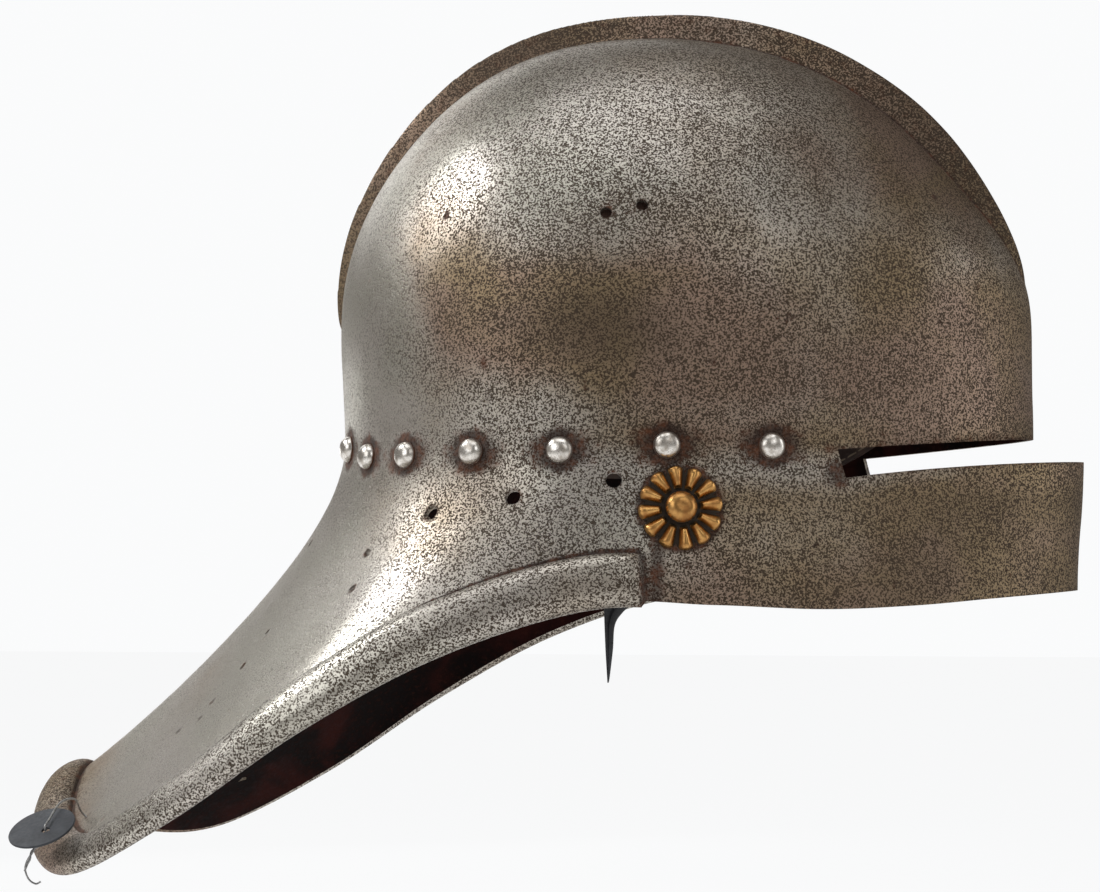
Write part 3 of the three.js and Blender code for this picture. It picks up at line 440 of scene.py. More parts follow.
class Nodes:
    """A small helper that adds nodes to one material and links them."""

    def __init__(self, name):
        self.material = bpy.data.materials.new(name)
        self.material.use_nodes = True
        self.tree = self.material.node_tree
        self.shader = self.tree.nodes["Principled BSDF"]
        self.place = self.add("ShaderNodeTexCoord").outputs["Object"]

    def add(self, kind, **settings):
        node = self.tree.nodes.new(kind)
        for key, value in settings.items():
            setattr(node, key, value)
        return node

    def link(self, source, target):
        if isinstance(source, (int, float)):
            target.default_value = source
        elif isinstance(source, tuple):
            target.default_value = (*source, 1.0) if len(source) == 3 else source
        else:
            self.tree.links.new(source, target)

    def noise(self, scale, detail=4.0, roughness=0.55, distortion=0.0, vector=None):
        node = self.add("ShaderNodeTexNoise")
        self.link(vector or self.place, node.inputs["Vector"])
        settings = ("Scale", scale), ("Detail", detail), ("Roughness", roughness), ("Distortion", distortion)
        for key, number in settings:
            node.inputs[key].default_value = number
        return node.outputs["Fac"]

    def cells(self, scale):
        node = self.add("ShaderNodeTexVoronoi")
        self.link(self.place, node.inputs["Vector"])
        node.inputs["Scale"].default_value = scale
        return node.outputs["Distance"]

    def stretch(self, x, y, z):
        node = self.add("ShaderNodeMapping")
        self.link(self.place, node.inputs["Vector"])
        node.inputs["Scale"].default_value = (x, y, z)
        return node.outputs["Vector"]

    def ramp(self, value, low, high, a=0.0, b=1.0):
        node = self.add("ShaderNodeMapRange", interpolation_type="SMOOTHSTEP")
        self.link(value, node.inputs["Value"])
        for key, number in (("From Min", low), ("From Max", high), ("To Min", a), ("To Max", b)):
            node.inputs[key].default_value = number
        return node.outputs["Result"]

    def math(self, operation, a, b=0.0, clamp=False):
        node = self.add("ShaderNodeMath", operation=operation, use_clamp=clamp)
        self.link(a, node.inputs[0])
        self.link(b, node.inputs[1])
        return node.outputs[0]

    def plus(self, a, b, clamp=False):
        return self.math("ADD", a, b, clamp)

    def minus(self, a, b):
        return self.math("SUBTRACT", a, b)

    def times(self, a, b):
        return self.math("MULTIPLY", a, b)

    def colour(self, factor, a, b):
        node = self.add("ShaderNodeMix", data_type="RGBA")
        self.link(factor, node.inputs["Factor"])
        self.link(a, node.inputs["A"])
        self.link(b, node.inputs["B"])
        return node.outputs["Result"]

    def attribute(self, name):
        return self.add("ShaderNodeAttribute", attribute_name=name).outputs["Fac"]

    def bump(self, height, strength, distance, onto=None):
        node = self.add("ShaderNodeBump")
        self.link(height, node.inputs["Height"])
        node.inputs["Strength"].default_value = strength
        node.inputs["Distance"].default_value = distance
        if onto:
            self.link(onto, node.inputs["Normal"])
        return node.outputs["Normal"]

    def finish(self, colour, roughness, normal=None, metallic=None, **constants):
        self.link(colour, self.shader.inputs["Base Color"])
        self.link(roughness, self.shader.inputs["Roughness"])
        if normal:
            self.link(normal, self.shader.inputs["Normal"])
        if metallic is not None:
            self.link(metallic, self.shader.inputs["Metallic"])
        for key, value in constants.items():
            self.shader.inputs[key.replace("_", " ")].default_value = value
        return self.material


def steel_finish():
    """Worn plate: grey metal turning brown with age and with painted shade from the dark attribute, finely
    pitted, with rust in the hollows.
    """
    n = Nodes("steel_pitted")
    rust_mask, shade_and_tone_mask, pitting = n.attribute("rust"), n.attribute("dark"), n.attribute("pitting")
    broad = n.noise(11, 3, 0.5, 0.3)
    clouds = n.noise(42, 4, 0.6)
    hue = n.noise(17, 3, 0.5, 0.4, n.stretch(1.0, 0.7, 1.3))
    patina_and_shade = n.plus(n.times(broad, 0.8), n.times(clouds, 0.35))
    # Brown where the noise and the dark attribute rise. The dark attribute carries painted shade: darker
    # mid-bowl, at the brow, along the waist and on the lip.
    patina_and_shade = n.ramp(n.plus(patina_and_shade, n.times(shade_and_tone_mask, 0.42)), 0.38, 0.98)
    bare = n.colour(n.ramp(hue, 0.35, 0.65), (0.60, 0.57, 0.525), (0.55, 0.535, 0.475))
    brown = n.colour(n.ramp(hue, 0.38, 0.62), (0.31, 0.235, 0.145), (0.33, 0.24, 0.185))
    metal = n.colour(patina_and_shade, bare, brown)
    # Where the dark attribute is strong the metal goes near black: painted shade mid-bowl and at the brow,
    # and darker on the comb and at the tail's end.
    metal = n.colour(n.ramp(shade_and_tone_mask, 0.9, 2.0, 0.0, 0.75), metal, (0.11, 0.08, 0.052))
    speckle = n.noise(1450, 2, 0.55, 0.3)
    coarse = n.noise(700, 3, 0.6)
    mixed = n.plus(n.times(speckle, 0.8), n.times(coarse, 0.2))
    density = n.plus(n.times(pitting, 0.11), n.times(clouds, 0.06))
    gap = n.minus(n.plus(density, 0.385), mixed)
    pits = n.ramp(gap, -0.030, 0.040)
    depth = n.ramp(pitting, 0.1, 0.8, 0.35, 0.97)
    metal = n.colour(n.times(pits, depth), metal, (0.050, 0.034, 0.022))
    rust_noise = n.noise(230, 5, 0.7)
    rust = n.plus(rust_mask, n.times(n.minus(rust_noise, 0.5), 0.8))
    rust = n.times(n.ramp(rust, 0.22, 0.80), n.ramp(rust_mask, 0.02, 0.20))
    rust_tone = n.colour(n.ramp(rust_noise, 0.42, 0.72), (0.020, 0.007, 0.003), (0.115, 0.036, 0.012))
    flecks = n.times(n.ramp(n.noise(75, 3, 0.6), 0.67, 0.73), n.ramp(n.noise(420, 2), 0.48, 0.62))
    rust = n.math("MAXIMUM", rust, n.times(flecks, 0.8))
    metal = n.colour(n.times(rust, 0.92), metal, rust_tone)
    rough = n.plus(n.ramp(patina_and_shade, 0, 1, 0.34, 0.46), n.times(pits, 0.18))
    rough = n.plus(rough, n.times(rust, 0.32), True)
    shine = n.minus(1.0, n.math("MAXIMUM", n.times(rust, 0.85), n.times(pits, 0.35)))
    height = n.minus(n.times(coarse, 0.35), n.times(pits, depth))
    normal = n.bump(height, 0.30, 0.0003)
    normal = n.bump(n.times(rust_noise, rust), 0.35, 0.0004, normal)
    return n.finish(metal, rough, normal, shine)


def inside_finish():
    """The plate's inner face: blackened, with dark red-brown rust."""
    n = Nodes("steel_inside")
    patch = n.ramp(n.noise(28, 4, 0.6, 0.5), 0.42, 0.66)
    fine = n.noise(500, 4, 0.65)
    tone = n.colour(patch, (0.005, 0.003, 0.003), (0.026, 0.006, 0.005))
    tone = n.colour(n.times(n.ramp(fine, 0.5, 0.7), 0.3), tone, (0.05, 0.018, 0.013))
    rough = n.ramp(fine, 0.3, 0.7, 0.6, 0.85)
    return n.finish(tone, rough, n.bump(fine, 0.3, 0.0005), 0.0, Specular_IOR_Level=0.04)


def rivet_finish():
    n = Nodes("rivet_steel")
    patch = n.noise(350, 4, 0.6)
    fine = n.noise(2200, 3, 0.6)
    skirt_rust = n.attribute("rust")
    tone = n.colour(n.ramp(patch, 0.38, 0.68), (0.86, 0.84, 0.80), (0.48, 0.44, 0.39))
    tone = n.colour(n.times(n.ramp(fine, 0.55, 0.7), 0.6), tone, (0.12, 0.09, 0.07))
    rust = n.ramp(n.plus(skirt_rust, n.times(n.minus(patch, 0.5), 0.8)), 0.35, 0.8)
    tone = n.colour(rust, tone, (0.13, 0.055, 0.028))
    rough = n.plus(n.ramp(patch, 0.3, 0.7, 0.22, 0.38), n.times(rust, 0.3))
    return n.finish(tone, rough, n.bump(patch, 0.3, 0.0003), n.ramp(rust, 0, 1, 1.0, 0.3))


def iron_finish():
    n = Nodes("dark_iron")
    patch = n.noise(300, 5, 0.65)
    tone = n.colour(n.ramp(patch, 0.35, 0.7), (0.06, 0.052, 0.048), (0.19, 0.165, 0.15))
    tone = n.colour(n.times(n.ramp(n.noise(160, 4, 0.6), 0.55, 0.68), 0.7), tone, (0.12, 0.045, 0.02))
    return n.finish(tone, n.ramp(patch, 0.3, 0.7, 0.42, 0.7), n.bump(patch, 0.4, 0.0003), 0.8)


def wire_finish():
    n = Nodes("wire_steel")
    drawn = n.noise(900, 3, 0.5)
    tone = n.colour(n.ramp(drawn, 0.35, 0.65), (0.20, 0.205, 0.21), (0.42, 0.42, 0.42))
    return n.finish(tone, n.ramp(drawn, 0.3, 0.7, 0.3, 0.5), n.bump(drawn, 0.2, 0.0001), 0.9)


def brass_finish():
    """Old brass: brighter on the crests, brown to black in the hollows."""
    n = Nodes("brass_aged")
    hollow = n.attribute("hollow")
    patch = n.noise(240, 5, 0.6)
    tone = n.colour(n.ramp(patch, 0.35, 0.68), (0.64, 0.365, 0.125), (0.37, 0.175, 0.057))
    # Brown to black in the hollows marked by the hollow attribute.
    hollow_dark = n.ramp(n.plus(hollow, n.times(n.minus(patch, 0.5), 0.5)), 0.3, 0.75)
    tone = n.colour(hollow_dark, tone, (0.028, 0.018, 0.010))
    rough = n.plus(n.ramp(patch, 0.3, 0.7, 0.25, 0.42), n.times(hollow_dark, 0.3))
    return n.finish(tone, rough, n.bump(patch, 0.35, 0.0003), n.ramp(hollow_dark, 0, 1, 1.0, 0.35))


def leather_finish(name, dark, light, grain=900):
    n = Nodes(name)
    pores = n.cells(grain)
    crease = n.noise(grain / 3, 5, 0.65, 0.6)
    worn = n.noise(45, 4, 0.6)
    tone = n.colour(n.ramp(worn, 0.35, 0.7), dark, light)
    tone = n.colour(n.times(n.ramp(pores, 0.35, 0.1), 0.35), tone, tuple(c * 0.4 for c in dark))
    height = n.plus(n.times(pores, 0.6), n.times(crease, 0.6))
    return n.finish(tone, n.ramp(worn, 0.3, 0.7, 0.52, 0.74), n.bump(height, 0.45, 0.0004), 0.0)


def linen_finish():
    """Quilted lining cloth: plain weave, soiled, darker along its seams."""
    n = Nodes("quilted_linen")
    warp = n.add("ShaderNodeTexWave", wave_type="BANDS", bands_direction="Z")
    weft = n.add("ShaderNodeTexWave", wave_type="BANDS", bands_direction="X")
    for wave in (warp, weft):
        n.link(n.place, wave.inputs["Vector"])
        wave.inputs["Scale"].default_value = 420
        wave.inputs["Distortion"].default_value = 1.2
        wave.inputs["Detail"].default_value = 2
    weave = n.times(warp.outputs["Fac"], weft.outputs["Fac"])
    soil = n.noise(22, 5, 0.6)
    seam = n.attribute("seam")
    tone = n.colour(n.ramp(soil, 0.35, 0.68), (0.20, 0.115, 0.085), (0.085, 0.045, 0.036))
    tone = n.colour(n.times(weave, 0.35), tone, (0.27, 0.18, 0.14))
    tone = n.colour(n.times(seam, 0.75), tone, (0.022, 0.013, 0.011))
    normal = n.bump(weave, 0.5, 0.0004)
    return n.finish(tone, n.ramp(soil, 0, 1, 0.86, 0.96), normal, 0.0, Sheen_Weight=0.25)


def tag_finish():
    n = Nodes("tag_board")
    fleck = n.noise(700, 4, 0.6)
    rub = n.noise(90, 3, 0.6)
    tone = n.colour(n.ramp(rub, 0.35, 0.7), (0.022, 0.026, 0.034), (0.048, 0.056, 0.068))
    return n.finish(tone, n.ramp(fleck, 0.3, 0.7, 0.42, 0.62), n.bump(fleck, 0.25, 0.0002), 0.0)


def thread_finish():
    n = Nodes("waxed_thread")
    twist = n.noise(1500, 2)
    tone = n.colour(twist, (0.10, 0.075, 0.05), (0.19, 0.15, 0.10))
    return n.finish(tone, n.ramp(twist, 0.3, 0.7, 0.6, 0.8), n.bump(twist, 0.4, 0.0002), 0.0)


def floor_finish():
    """A pale floor that the camera sees as bright as the backdrop."""
    n = Nodes("studio_floor")
    mottle = n.noise(3, 2)
    pale = n.colour(mottle, (0.80, 0.80, 0.80), (0.84, 0.84, 0.84))
    rough = n.ramp(mottle, 0, 1, 0.8, 0.9)
    material = n.finish(pale, rough, Emission_Color=(1, 0.97, 0.94, 1), Emission_Strength=0.22)
    bright = n.add("ShaderNodeEmission")
    bright.inputs["Color"].default_value = (0.96, 0.965, 0.97, 1)
    seen, blend = n.add("ShaderNodeLightPath"), n.add("ShaderNodeMixShader")
    n.link(n.times(seen.outputs["Is Camera Ray"], 0.95), blend.inputs["Fac"])
    n.link(n.shader.outputs["BSDF"], blend.inputs[1])
    n.link(bright.outputs["Emission"], blend.inputs[2])
    n.link(blend.outputs["Shader"], n.tree.nodes["Material Output"].inputs["Surface"])
    return material


steel, inside, rivet_steel, iron = steel_finish(), inside_finish(), rivet_finish(), iron_finish()
brass, wire, tag_board, thread = brass_finish(), wire_finish(), tag_finish(), thread_finish()
linen = linen_finish()
leather = leather_finish("lining_leather", (0.024, 0.012, 0.008), (0.060, 0.032, 0.020))
dark_leather = leather_finish("strap_leather", (0.016, 0.018, 0.022), (0.042, 0.046, 0.054))


def dress(piece, angle, finishes, body):
    """Shades a piece, gives it its finishes and sets the body it rides."""
    shade(piece, angle)
    for finish in finishes:
        piece.data.materials.append(finish)
    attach(piece, body)
    return piece


# ---------------------------------------------------------------- where fittings sit

def column_angles():
    """Plan angles of the grid's columns: close together near the middle, and on the slit's ends."""
    step, angle, half = math.radians(MIDDLE_STEP), 0.0, [0.0]
    while angle + step < SLIT_END:
        angle += step
        half.append(angle)
        if angle > math.radians(3.5):
            step = min(step * 1.12, math.radians(COLUMN_STEP))
    half = [a * SLIT_END / half[-1] for a in half]
    back = [math.pi]
    step, angle = math.radians(MIDDLE_STEP), math.pi
    while angle - step > SLIT_END:
        angle -= step
        back.append(angle)
        if angle < math.pi - math.radians(3.5):
            step = min(step * 1.12, math.radians(COLUMN_STEP))
    stretch = (math.pi - SLIT_END) / (math.pi - back[-1])
    back = [math.pi - (math.pi - a) * stretch for a in back]
    half += back[-2::-1]
    return np.array(half + [2 * math.pi - a for a in half[-2:0:-1]])


columns = column_angles()


def bowl_rows():
    """Values of u whose rows are evenly spaced down the side, and closer over the crown."""
    u = np.linspace(0, np.pi / 2, 4001)
    line = bowl(np.full_like(u, np.pi / 2), u)
    length = np.concatenate([[0], np.cumsum(np.linalg.norm(np.diff(line, axis=0), axis=1))])
    at, step = [0.5], 0.6
    while at[-1] + step < length[-1] - 0.3:
        at.append(at[-1] + step)
        if at[-1] > 12:
            step = min(step * 1.06, ROW_STEP)
    return np.interp([*at, length[-1]], length, u)


def base_surface():
    """The outer surface's points and normals, row by row from the crown to the lower edge."""
    u = bowl_rows()
    angle_grid, u_grid = np.meshgrid(columns, u)
    upper = bowl(angle_grid, u_grid), normals(bowl, angle_grid, u_grid, 0.002, np.pi / 2)
    inner_v = v_at_distance(columns, border_width(columns))
    slit = np.linspace(0, SLIT_ROW, SLIT_ROWS + 1)[1:, None] * np.ones_like(columns)
    shares = np.linspace(0, 1, SKIRT_ROWS + 1)[1:, None]
    free = mix(SLIT_ROW, inner_v[None, :], shares)
    v_grid = np.concatenate([slit, free])
    slant = np.clip(v_grid / SLIT_ROW, 0, 1) * (1 - smooth((v_grid - SLIT_ROW) / 0.15))
    slant = slant * np.exp(-((from_front(columns) - SLIT_END) / SLANT_REACH) ** 2)
    angle_grid = columns - SLIT_SLANT * slant * np.sign(np.pi - columns)
    lower = skirt(angle_grid, v_grid), normals(skirt, angle_grid, v_grid, 0, 1)
    # normals just under the slit come from the lip alone
    row = SLIT_ROWS - 1
    lower[1][row] = normals(skirt, angle_grid[row], np.full_like(columns, SLIT_ROW), SLIT_ROW, 1)
    points = np.concatenate([upper[0], lower[0]])
    return points, np.concatenate([upper[1], lower[1]]), len(u), v_grid


def seat_tree():
    angle_grid, v_grid = np.meshgrid(columns[::2], np.linspace(0, 1, 90))
    u_grid = np.linspace(0.05, np.pi / 2, 90)[:, None] * np.ones_like(angle_grid)
    vertices, faces = [], []
    for points in (bowl(angle_grid, u_grid), skirt(angle_grid, v_grid)):
        faces.append(grid_faces(90, angle_grid.shape[1], offset=sum(len(v) for v in vertices)))
        vertices.append(points.reshape(-1, 3))
    return BVHTree.FromPolygons(np.concatenate(vertices).tolist(), np.concatenate(faces).tolist())


tree = seat_tree()


def meet(origin, direction):
    """The outermost point of the plate met by a ray, and the outward normal there."""
    point, normal, _, _ = tree.ray_cast(Vector(origin), Vector(direction).normalized())
    if normal.dot(Vector(direction)) > 0:
        normal = -normal
    return np.array(point), np.array(normal)


def from_side(side, x, z):
    return meet((x, side * 400, z), (0, -side, 0))


def from_above(x, y):
    return meet((x, y, 300), (0, 0, -1))


def rivet_seats(side):
    """Seats of the lining rivets, round the waist behind the slit."""
    angle = np.linspace(SLIT_END, np.pi, 4001)
    x, y = oval(angle, BROW_X, HALF_WIDTH)
    length = np.concatenate([[0], np.cumsum(np.hypot(np.diff(x), np.diff(y)))])
    seats = []
    for at, drop in RIVET_SEATS:
        px, py = np.interp(at, length, x), np.interp(at, length, y)
        qx, qy = np.interp(at + 0.5, length, x), np.interp(at + 0.5, length, y)
        out = unit(np.array([qy - py, px - qx, 0.0]))
        if out @ np.array([px - WIDEST_X, py, 0]) < 0:
            out = -out
        start = np.array([px, py, 0]) + out * 60
        start = start * (1, -side, 1) - (0, 0, drop)
        seats.append(meet(start, -out * (1, -side, 1)))
    return seats


SIDES = ((-1, "r", "right"), (1, "l", "left"))
rivet_places = {f"{tag}{i + 1}": seat for side, tag, _ in SIDES for i, seat in enumerate(rivet_seats(side))}
rosette_places = {name: from_side(side, ROSETTE_X, ROSETTE_Z) for side, _, name in SIDES}
hole_places = [(*from_side(side, x, z), r) for side, _, _ in SIDES for x, z, r in SIDE_HOLES]
hole_places += [(*from_above(x, side * y), r) for side, _, _ in SIDES for x, y, r in TAIL_HOLES]
tag_seat = from_above(*TAG_HOLE)
hole_places += [(*tag_seat, 1.6), (*from_above(*LEFT_HOLE), 2.0)]


# ---------------------------------------------------------------- the skull

def border_profile(width, bordered):
    """(distance in from the edge, height off the plate) of each border row, groove first."""
    q = np.linspace(0, 1, BORDER_ROWS)[:, None]
    over, under = np.minimum(q / ROLL_SHARE, 1), np.clip((q - ROLL_SHARE) / (1 - ROLL_SHARE), 0, 1)
    d = mix(width, -BORDER_OVERHANG, (1 - np.cos(np.pi * over)) / 2)
    d = d + BORDER_TUCK * (1 - np.cos(under * np.pi / 2))
    n = BORDER_HEIGHT * np.abs(np.sin(np.pi * over)) ** 0.85 - PLATE * np.sin(under * np.pi / 2)
    plain_d = width * np.clip(1 - q / 0.8, 0, 1)
    plain_n = -0.5 * np.clip((q - 0.8) / 0.2, 0, 1)
    return np.where(bordered, d, plain_d), np.where(bordered, n, plain_n)


def build_skull():
    points, normal, bowl_count, v_grid = base_surface()
    column_count = len(columns)
    bordered = from_front(columns) >= BORDER_FROM
    width = border_width(columns)

    # rows of the border
    d, n = border_profile(width[None, :], bordered[None, :])
    v_border = v_at_distance(np.broadcast_to(columns, d.shape), np.maximum(d, 0.02))
    angle_grid = np.broadcast_to(columns, d.shape)
    seat, out = skirt(angle_grid, v_border), normals(skirt, angle_grid, v_border, 0, 1)
    _, along = edge_curve(columns)
    away = unit(np.cross(along[None, :], out))
    drop = skirt(columns, np.ones(column_count)) - skirt(columns, np.full(column_count, 0.8))
    away *= np.sign((away * drop[None]).sum(-1, keepdims=True))
    wobble = 1 + 0.05 * waves(seat, 60, 5)
    ease = mix(0.45, 1.0, smooth((from_front(columns) - BORDER_FROM) / math.radians(2.4)) ** 0.5)
    wobble = wobble * np.where(bordered, ease, 1)[None, :]
    border = seat + out * (n * np.where(n > 0, wobble, 1))[..., None] + away * np.maximum(-d, 0)[..., None]
    d_in = width[None, :] * np.linspace(1, 0.02, BORDER_ROWS)[:, None]
    v_in = v_at_distance(np.broadcast_to(columns, d_in.shape), d_in)
    seat_in, out_in = skirt(angle_grid, v_in), normals(skirt, angle_grid, v_in, 0, 1)

    inner = points - normal * PLATE
    # comb
    tilt = np.degrees(np.arctan2(points[..., 2], points[..., 0] - CROWN_X))
    height = comb_height(tilt) * (points[..., 2] > 0)
    half = mix(3.6, COMB_HALF_WIDTH, np.clip(height / 8, 0, 1))
    across = np.abs(points[..., 1]) / half
    rise = height * (1 - smooth((across - 0.30) / 0.72)) ** 0.9
    rise -= 0.12 * height * np.clip(across / 0.35, 0, 1) ** 2 * (across < 0.35)
    up = unit(normal * (1, 0, 1))
    outer = points + up * rise[..., None]
    inside_across = across * half / np.maximum(half - 2.4, 0.5)
    hollow = np.maximum(height - 2.2, 0) * (1 - smooth((inside_across - 0.2) / 0.8))
    inner = inner + up * hollow[..., None]

    outer = np.concatenate([outer, border])
    inner = np.concatenate([inner, seat_in - out_in * PLATE])
    base_normal = np.concatenate([normal, out])
    # the hammered plate is never quite even
    uneven = 0.22 * waves(outer, 70, 3) + 0.05 * waves(outer, 18, 4, 2)
    outer += base_normal * uneven[..., None]
    inner += base_normal * uneven[..., None]

    rows = outer.shape[0]
    present = np.ones((rows - 1, column_count), bool)
    following = np.append(columns[1:], 2 * np.pi)
    middle = from_front((columns + following) / 2)
    present[bowl_count - 1:bowl_count - 1 + SLIT_ROWS, middle < SLIT_END] = False

    for point, direction, radius in hole_places:
        offset = outer - point
        depth = offset @ direction
        flat = offset - depth[..., None] * direction
        reach = np.linalg.norm(flat, axis=-1)
        reach = np.where(np.abs(depth) < 8, reach, 1e3)
        within = reach < radius + 0.25
        corners = within[:-1] & within[1:]
        corners = corners & np.roll(corners, -1, 1)
        present &= ~corners
        ring = np.zeros_like(within)
        for dr in (0, 1):
            for dc in (0, 1):
                ring[dr:dr + rows - 1] |= np.roll(corners, dc, 1)
        ring &= reach < radius + 3
        touching = ring & (reach > radius - 1.2)
        for skin in (outer, inner):
            off = skin - point
            deep = (off @ direction)[..., None] * direction
            level = unit(off - deep) * radius
            skin[touching] = (point + deep + level)[touching]

    ring_count = rows * column_count
    vertices = np.concatenate([outer.reshape(-1, 3), inner.reshape(-1, 3)])
    quads = grid_faces(rows, column_count)
    quads = quads[present.ravel()]
    inward = quads[:, ::-1] + ring_count
    walls = wall_faces(present, column_count, ring_count)
    vertices = np.concatenate([vertices, [outer[0].mean(0)], [inner[0].mean(0)]])
    caps = crown_faces(column_count, ring_count, len(vertices))
    faces = np.concatenate([quads, inward, walls, caps])
    half_caps = len(caps) // 2
    kinds = np.repeat([0, 1, 0, 0, 1], [len(quads), len(inward), len(walls), half_caps, half_caps])

    piece = make_object("sallet_skull", vertices, faces)
    piece.data.polygons.foreach_set("material_index", kinds.astype(np.int32))
    masks = stain_masks(outer, rows, bowl_count, bordered, across, height)
    for name, mask in zip(("rust", "dark", "pitting"), masks):
        both = np.concatenate([mask.ravel(), mask.ravel() * 0.5, [mask[0, 0]] * 2])
        add_attribute(piece, name, both)
    remove_loose(piece)
    dress(piece, 38, (steel, inside), "helmet")
    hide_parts("skull_shell")


def wall_faces(present, column_count, ring_count):
    """Faces between the two skins along every edge of the open places."""
    below = np.vstack([present[1:], np.zeros((1, column_count), bool)])
    walls = []
    for beside, down in ((below, 1), (np.roll(present, 1, 1), 0)):
        for edge, order in ((present & ~beside, 1), (beside & ~present, -1)):
            r, c = np.nonzero(edge)
            a = (r + down) * column_count + c
            b = (r + 1) * column_count + (c + down) % column_count
            walls.append(np.stack([a, a + ring_count, b + ring_count, b], -1)[:, ::order])
    return np.concatenate(walls)


def crown_faces(column_count, ring_count, total):
    """Quads from every second column to a centre vertex that close the crown of both skins."""
    top, under = total - 2, total - 1
    pairs = np.arange(0, column_count, 2)
    b, c = (pairs + 1) % column_count, (pairs + 2) % column_count
    outer = np.stack([np.full_like(pairs, top), pairs, b, c], -1)
    inner = np.stack([np.full_like(pairs, under), c + ring_count, b + ring_count, pairs + ring_count], -1)
    return np.concatenate([outer, inner])


def remove_loose(piece):
    work = bmesh.new()
    work.from_mesh(piece.data)
    loose = [v for v in work.verts if not v.link_faces]
    bmesh.ops.delete(work, geom=loose, context="VERTS")
    work.to_mesh(piece.data)
    work.free()


def stain_masks(outer, rows, bowl_count, bordered, across, height):
    """How rusty, how dark and how pitted the plate is at each point; the darkness is partly painted shade."""
    rust = np.zeros(outer.shape[:2])

    def stain(point, start, reach, strength, flat=1.0):
        """Rust round a point, wider than it is high."""
        nonlocal rust
        offset = outer - point
        distance = np.sqrt(offset[..., 0] ** 2 + offset[..., 1] ** 2 + (offset[..., 2] * flat) ** 2)
        rust = np.maximum(rust, strength * np.exp(-(np.maximum(distance - start, 0) / reach) ** 2))

    for point, _ in rivet_places.values():
        stain(point, 5.2, 3.8, 1.0)
        stain(point, 5.0, 10.5, 0.78, 1.6)
    for point, _, radius in hole_places:
        stain(point, radius, 1.3, 0.55)
    for side, _, _ in SIDES:
        stain(from_side(side, -10, 83)[0], 4, 7, 0.38, 1.4)
        for x, z, reach, strength in SIDE_STAINS:
            stain(from_side(side, x, z)[0], 0.4, reach, strength, 0.6)
        for x, y in TAIL_STAINS:
            stain(from_above(x, side * y)[0], 0.6, 1.8, 0.9)
    for point, _ in rosette_places.values():
        stain(point, 14.5, 2.2, 0.8)
        stain(point, 14.5, 7.0, 0.35)

    ridge = np.zeros(outer.shape[:2])
    crest = np.zeros(outer.shape[:2])
    ridge[:across.shape[0]] = (height > 0.3) * np.exp(-((across - 1.03) / 0.13) ** 2)
    crest[:across.shape[0]] = (height > 0.3) * (across < 1.0)
    rust = np.maximum(rust, np.maximum(0.85 * ridge, 0.30 * crest))

    first = rows - BORDER_ROWS
    from_groove = np.linalg.norm(outer - outer[first], axis=-1)
    groove = np.exp(-(from_groove / 1.3) ** 2) + 0.40 * np.exp(-(from_groove / 3.5) ** 2)
    rust = np.maximum(rust, np.where(bordered[None, :], groove, 0))
    ahead = from_front(columns)[None, :]
    for row, reach in ((bowl_count - 1, 3.2), (bowl_count - 1 + SLIT_ROWS, 1.3)):
        level = outer[row, :, 2][None, :]
        edge = np.exp(-((outer[..., 2] - level) / reach) ** 2) * (ahead < SLIT_END + 0.04)
        rust = np.maximum(rust, 0.5 * edge)
    for angle in (SLIT_END, 2 * np.pi - SLIT_END):
        corner = skirt(np.array(angle), np.array(SLIT_ROW * 0.8))
        stain(corner, 2.0, 5.0, 0.75)
        stain(corner, 2.0, 13.0, 0.36, 1.7)

    end_face = np.exp(-((ahead - BORDER_FROM) / math.radians(0.8)) ** 2)
    rust[first:] = np.maximum(rust[first:], 0.8 * end_face)

    x, z = outer[..., 0], outer[..., 2]
    lower = (z < -35) * 1.0
    rust = np.maximum(rust, 0.72 * np.exp(-((x - 3.4) / 4.2) ** 2) * lower)
    rust = np.maximum(rust, 0.42 * np.exp(-((x + 4) / 12) ** 2) * smooth((-z - 50) / 8))

    # Along the rivets' waist line: some rust, and in the dark mask painted shade of the crease there.
    waist = np.exp(-((z - 1) / 6) ** 2) * smooth((x + 60) / 60)
    rust = np.maximum(rust, 0.32 * waist)

    # The dark mask is noise plus painted shade: darker mid-bowl (middle), at the brow (front), along the
    # waist and on the lip under the slit, and lighter towards the rear. It is also darker on the comb and at
    # the tail's end.
    middle = np.exp(-(((x + 22) / 62) ** 2 + ((z - 38) / 26) ** 2))
    corner = smooth((-x - 200) / 30)
    rust = np.maximum(rust, 0.34 * corner)
    front = smooth((x - 35) / 70)
    dark = 0.45 * waves(outer, 120, 9, 2) + 1.3 * middle + 0.75 * front + 0.5 * waist
    dark += (0.9 + 1.1 * smooth((-x - 10) / 60)) * crest + 1.2 * corner
    dark += 0.9 * smooth((x + 5) / 30) * smooth((-z - 8) / 14) - 0.5 * smooth((-x - 70) / 60)
    rear = smooth((-x - 40) / 90)
    pitting = 0.86 - 0.42 * rear + 0.16 * waves(outer, 55, 21, 3) + 0.3 * crest
    border = np.zeros(outer.shape[:2])
    border[first + 2:] = bordered[None, :]
    pitting = np.where(border > 0, 0.8 + 0.2 * waves(outer, 40, 27, 2), pitting)
    return rust, dark, np.clip(pitting, 0.05, 1.1)


build_skull()


# ---------------------------------------------------------------- rivets, washers and rosettes

def stand_off(seat, radius):
    """How far the plate rises above a seat's tangent plane within a radius."""
    point, normal = seat
    u = unit(np.cross((0, 0, 1), normal))
    v = np.cross(normal, u)
    top = 0.0
    for a in np.linspace(0, 2 * np.pi, 16, endpoint=False):
        start = point + radius * (np.cos(a) * u + np.sin(a) * v) + normal * 30
        hit, _ = meet(start, -normal)
        top = max(top, (hit - point) @ normal)
    return top


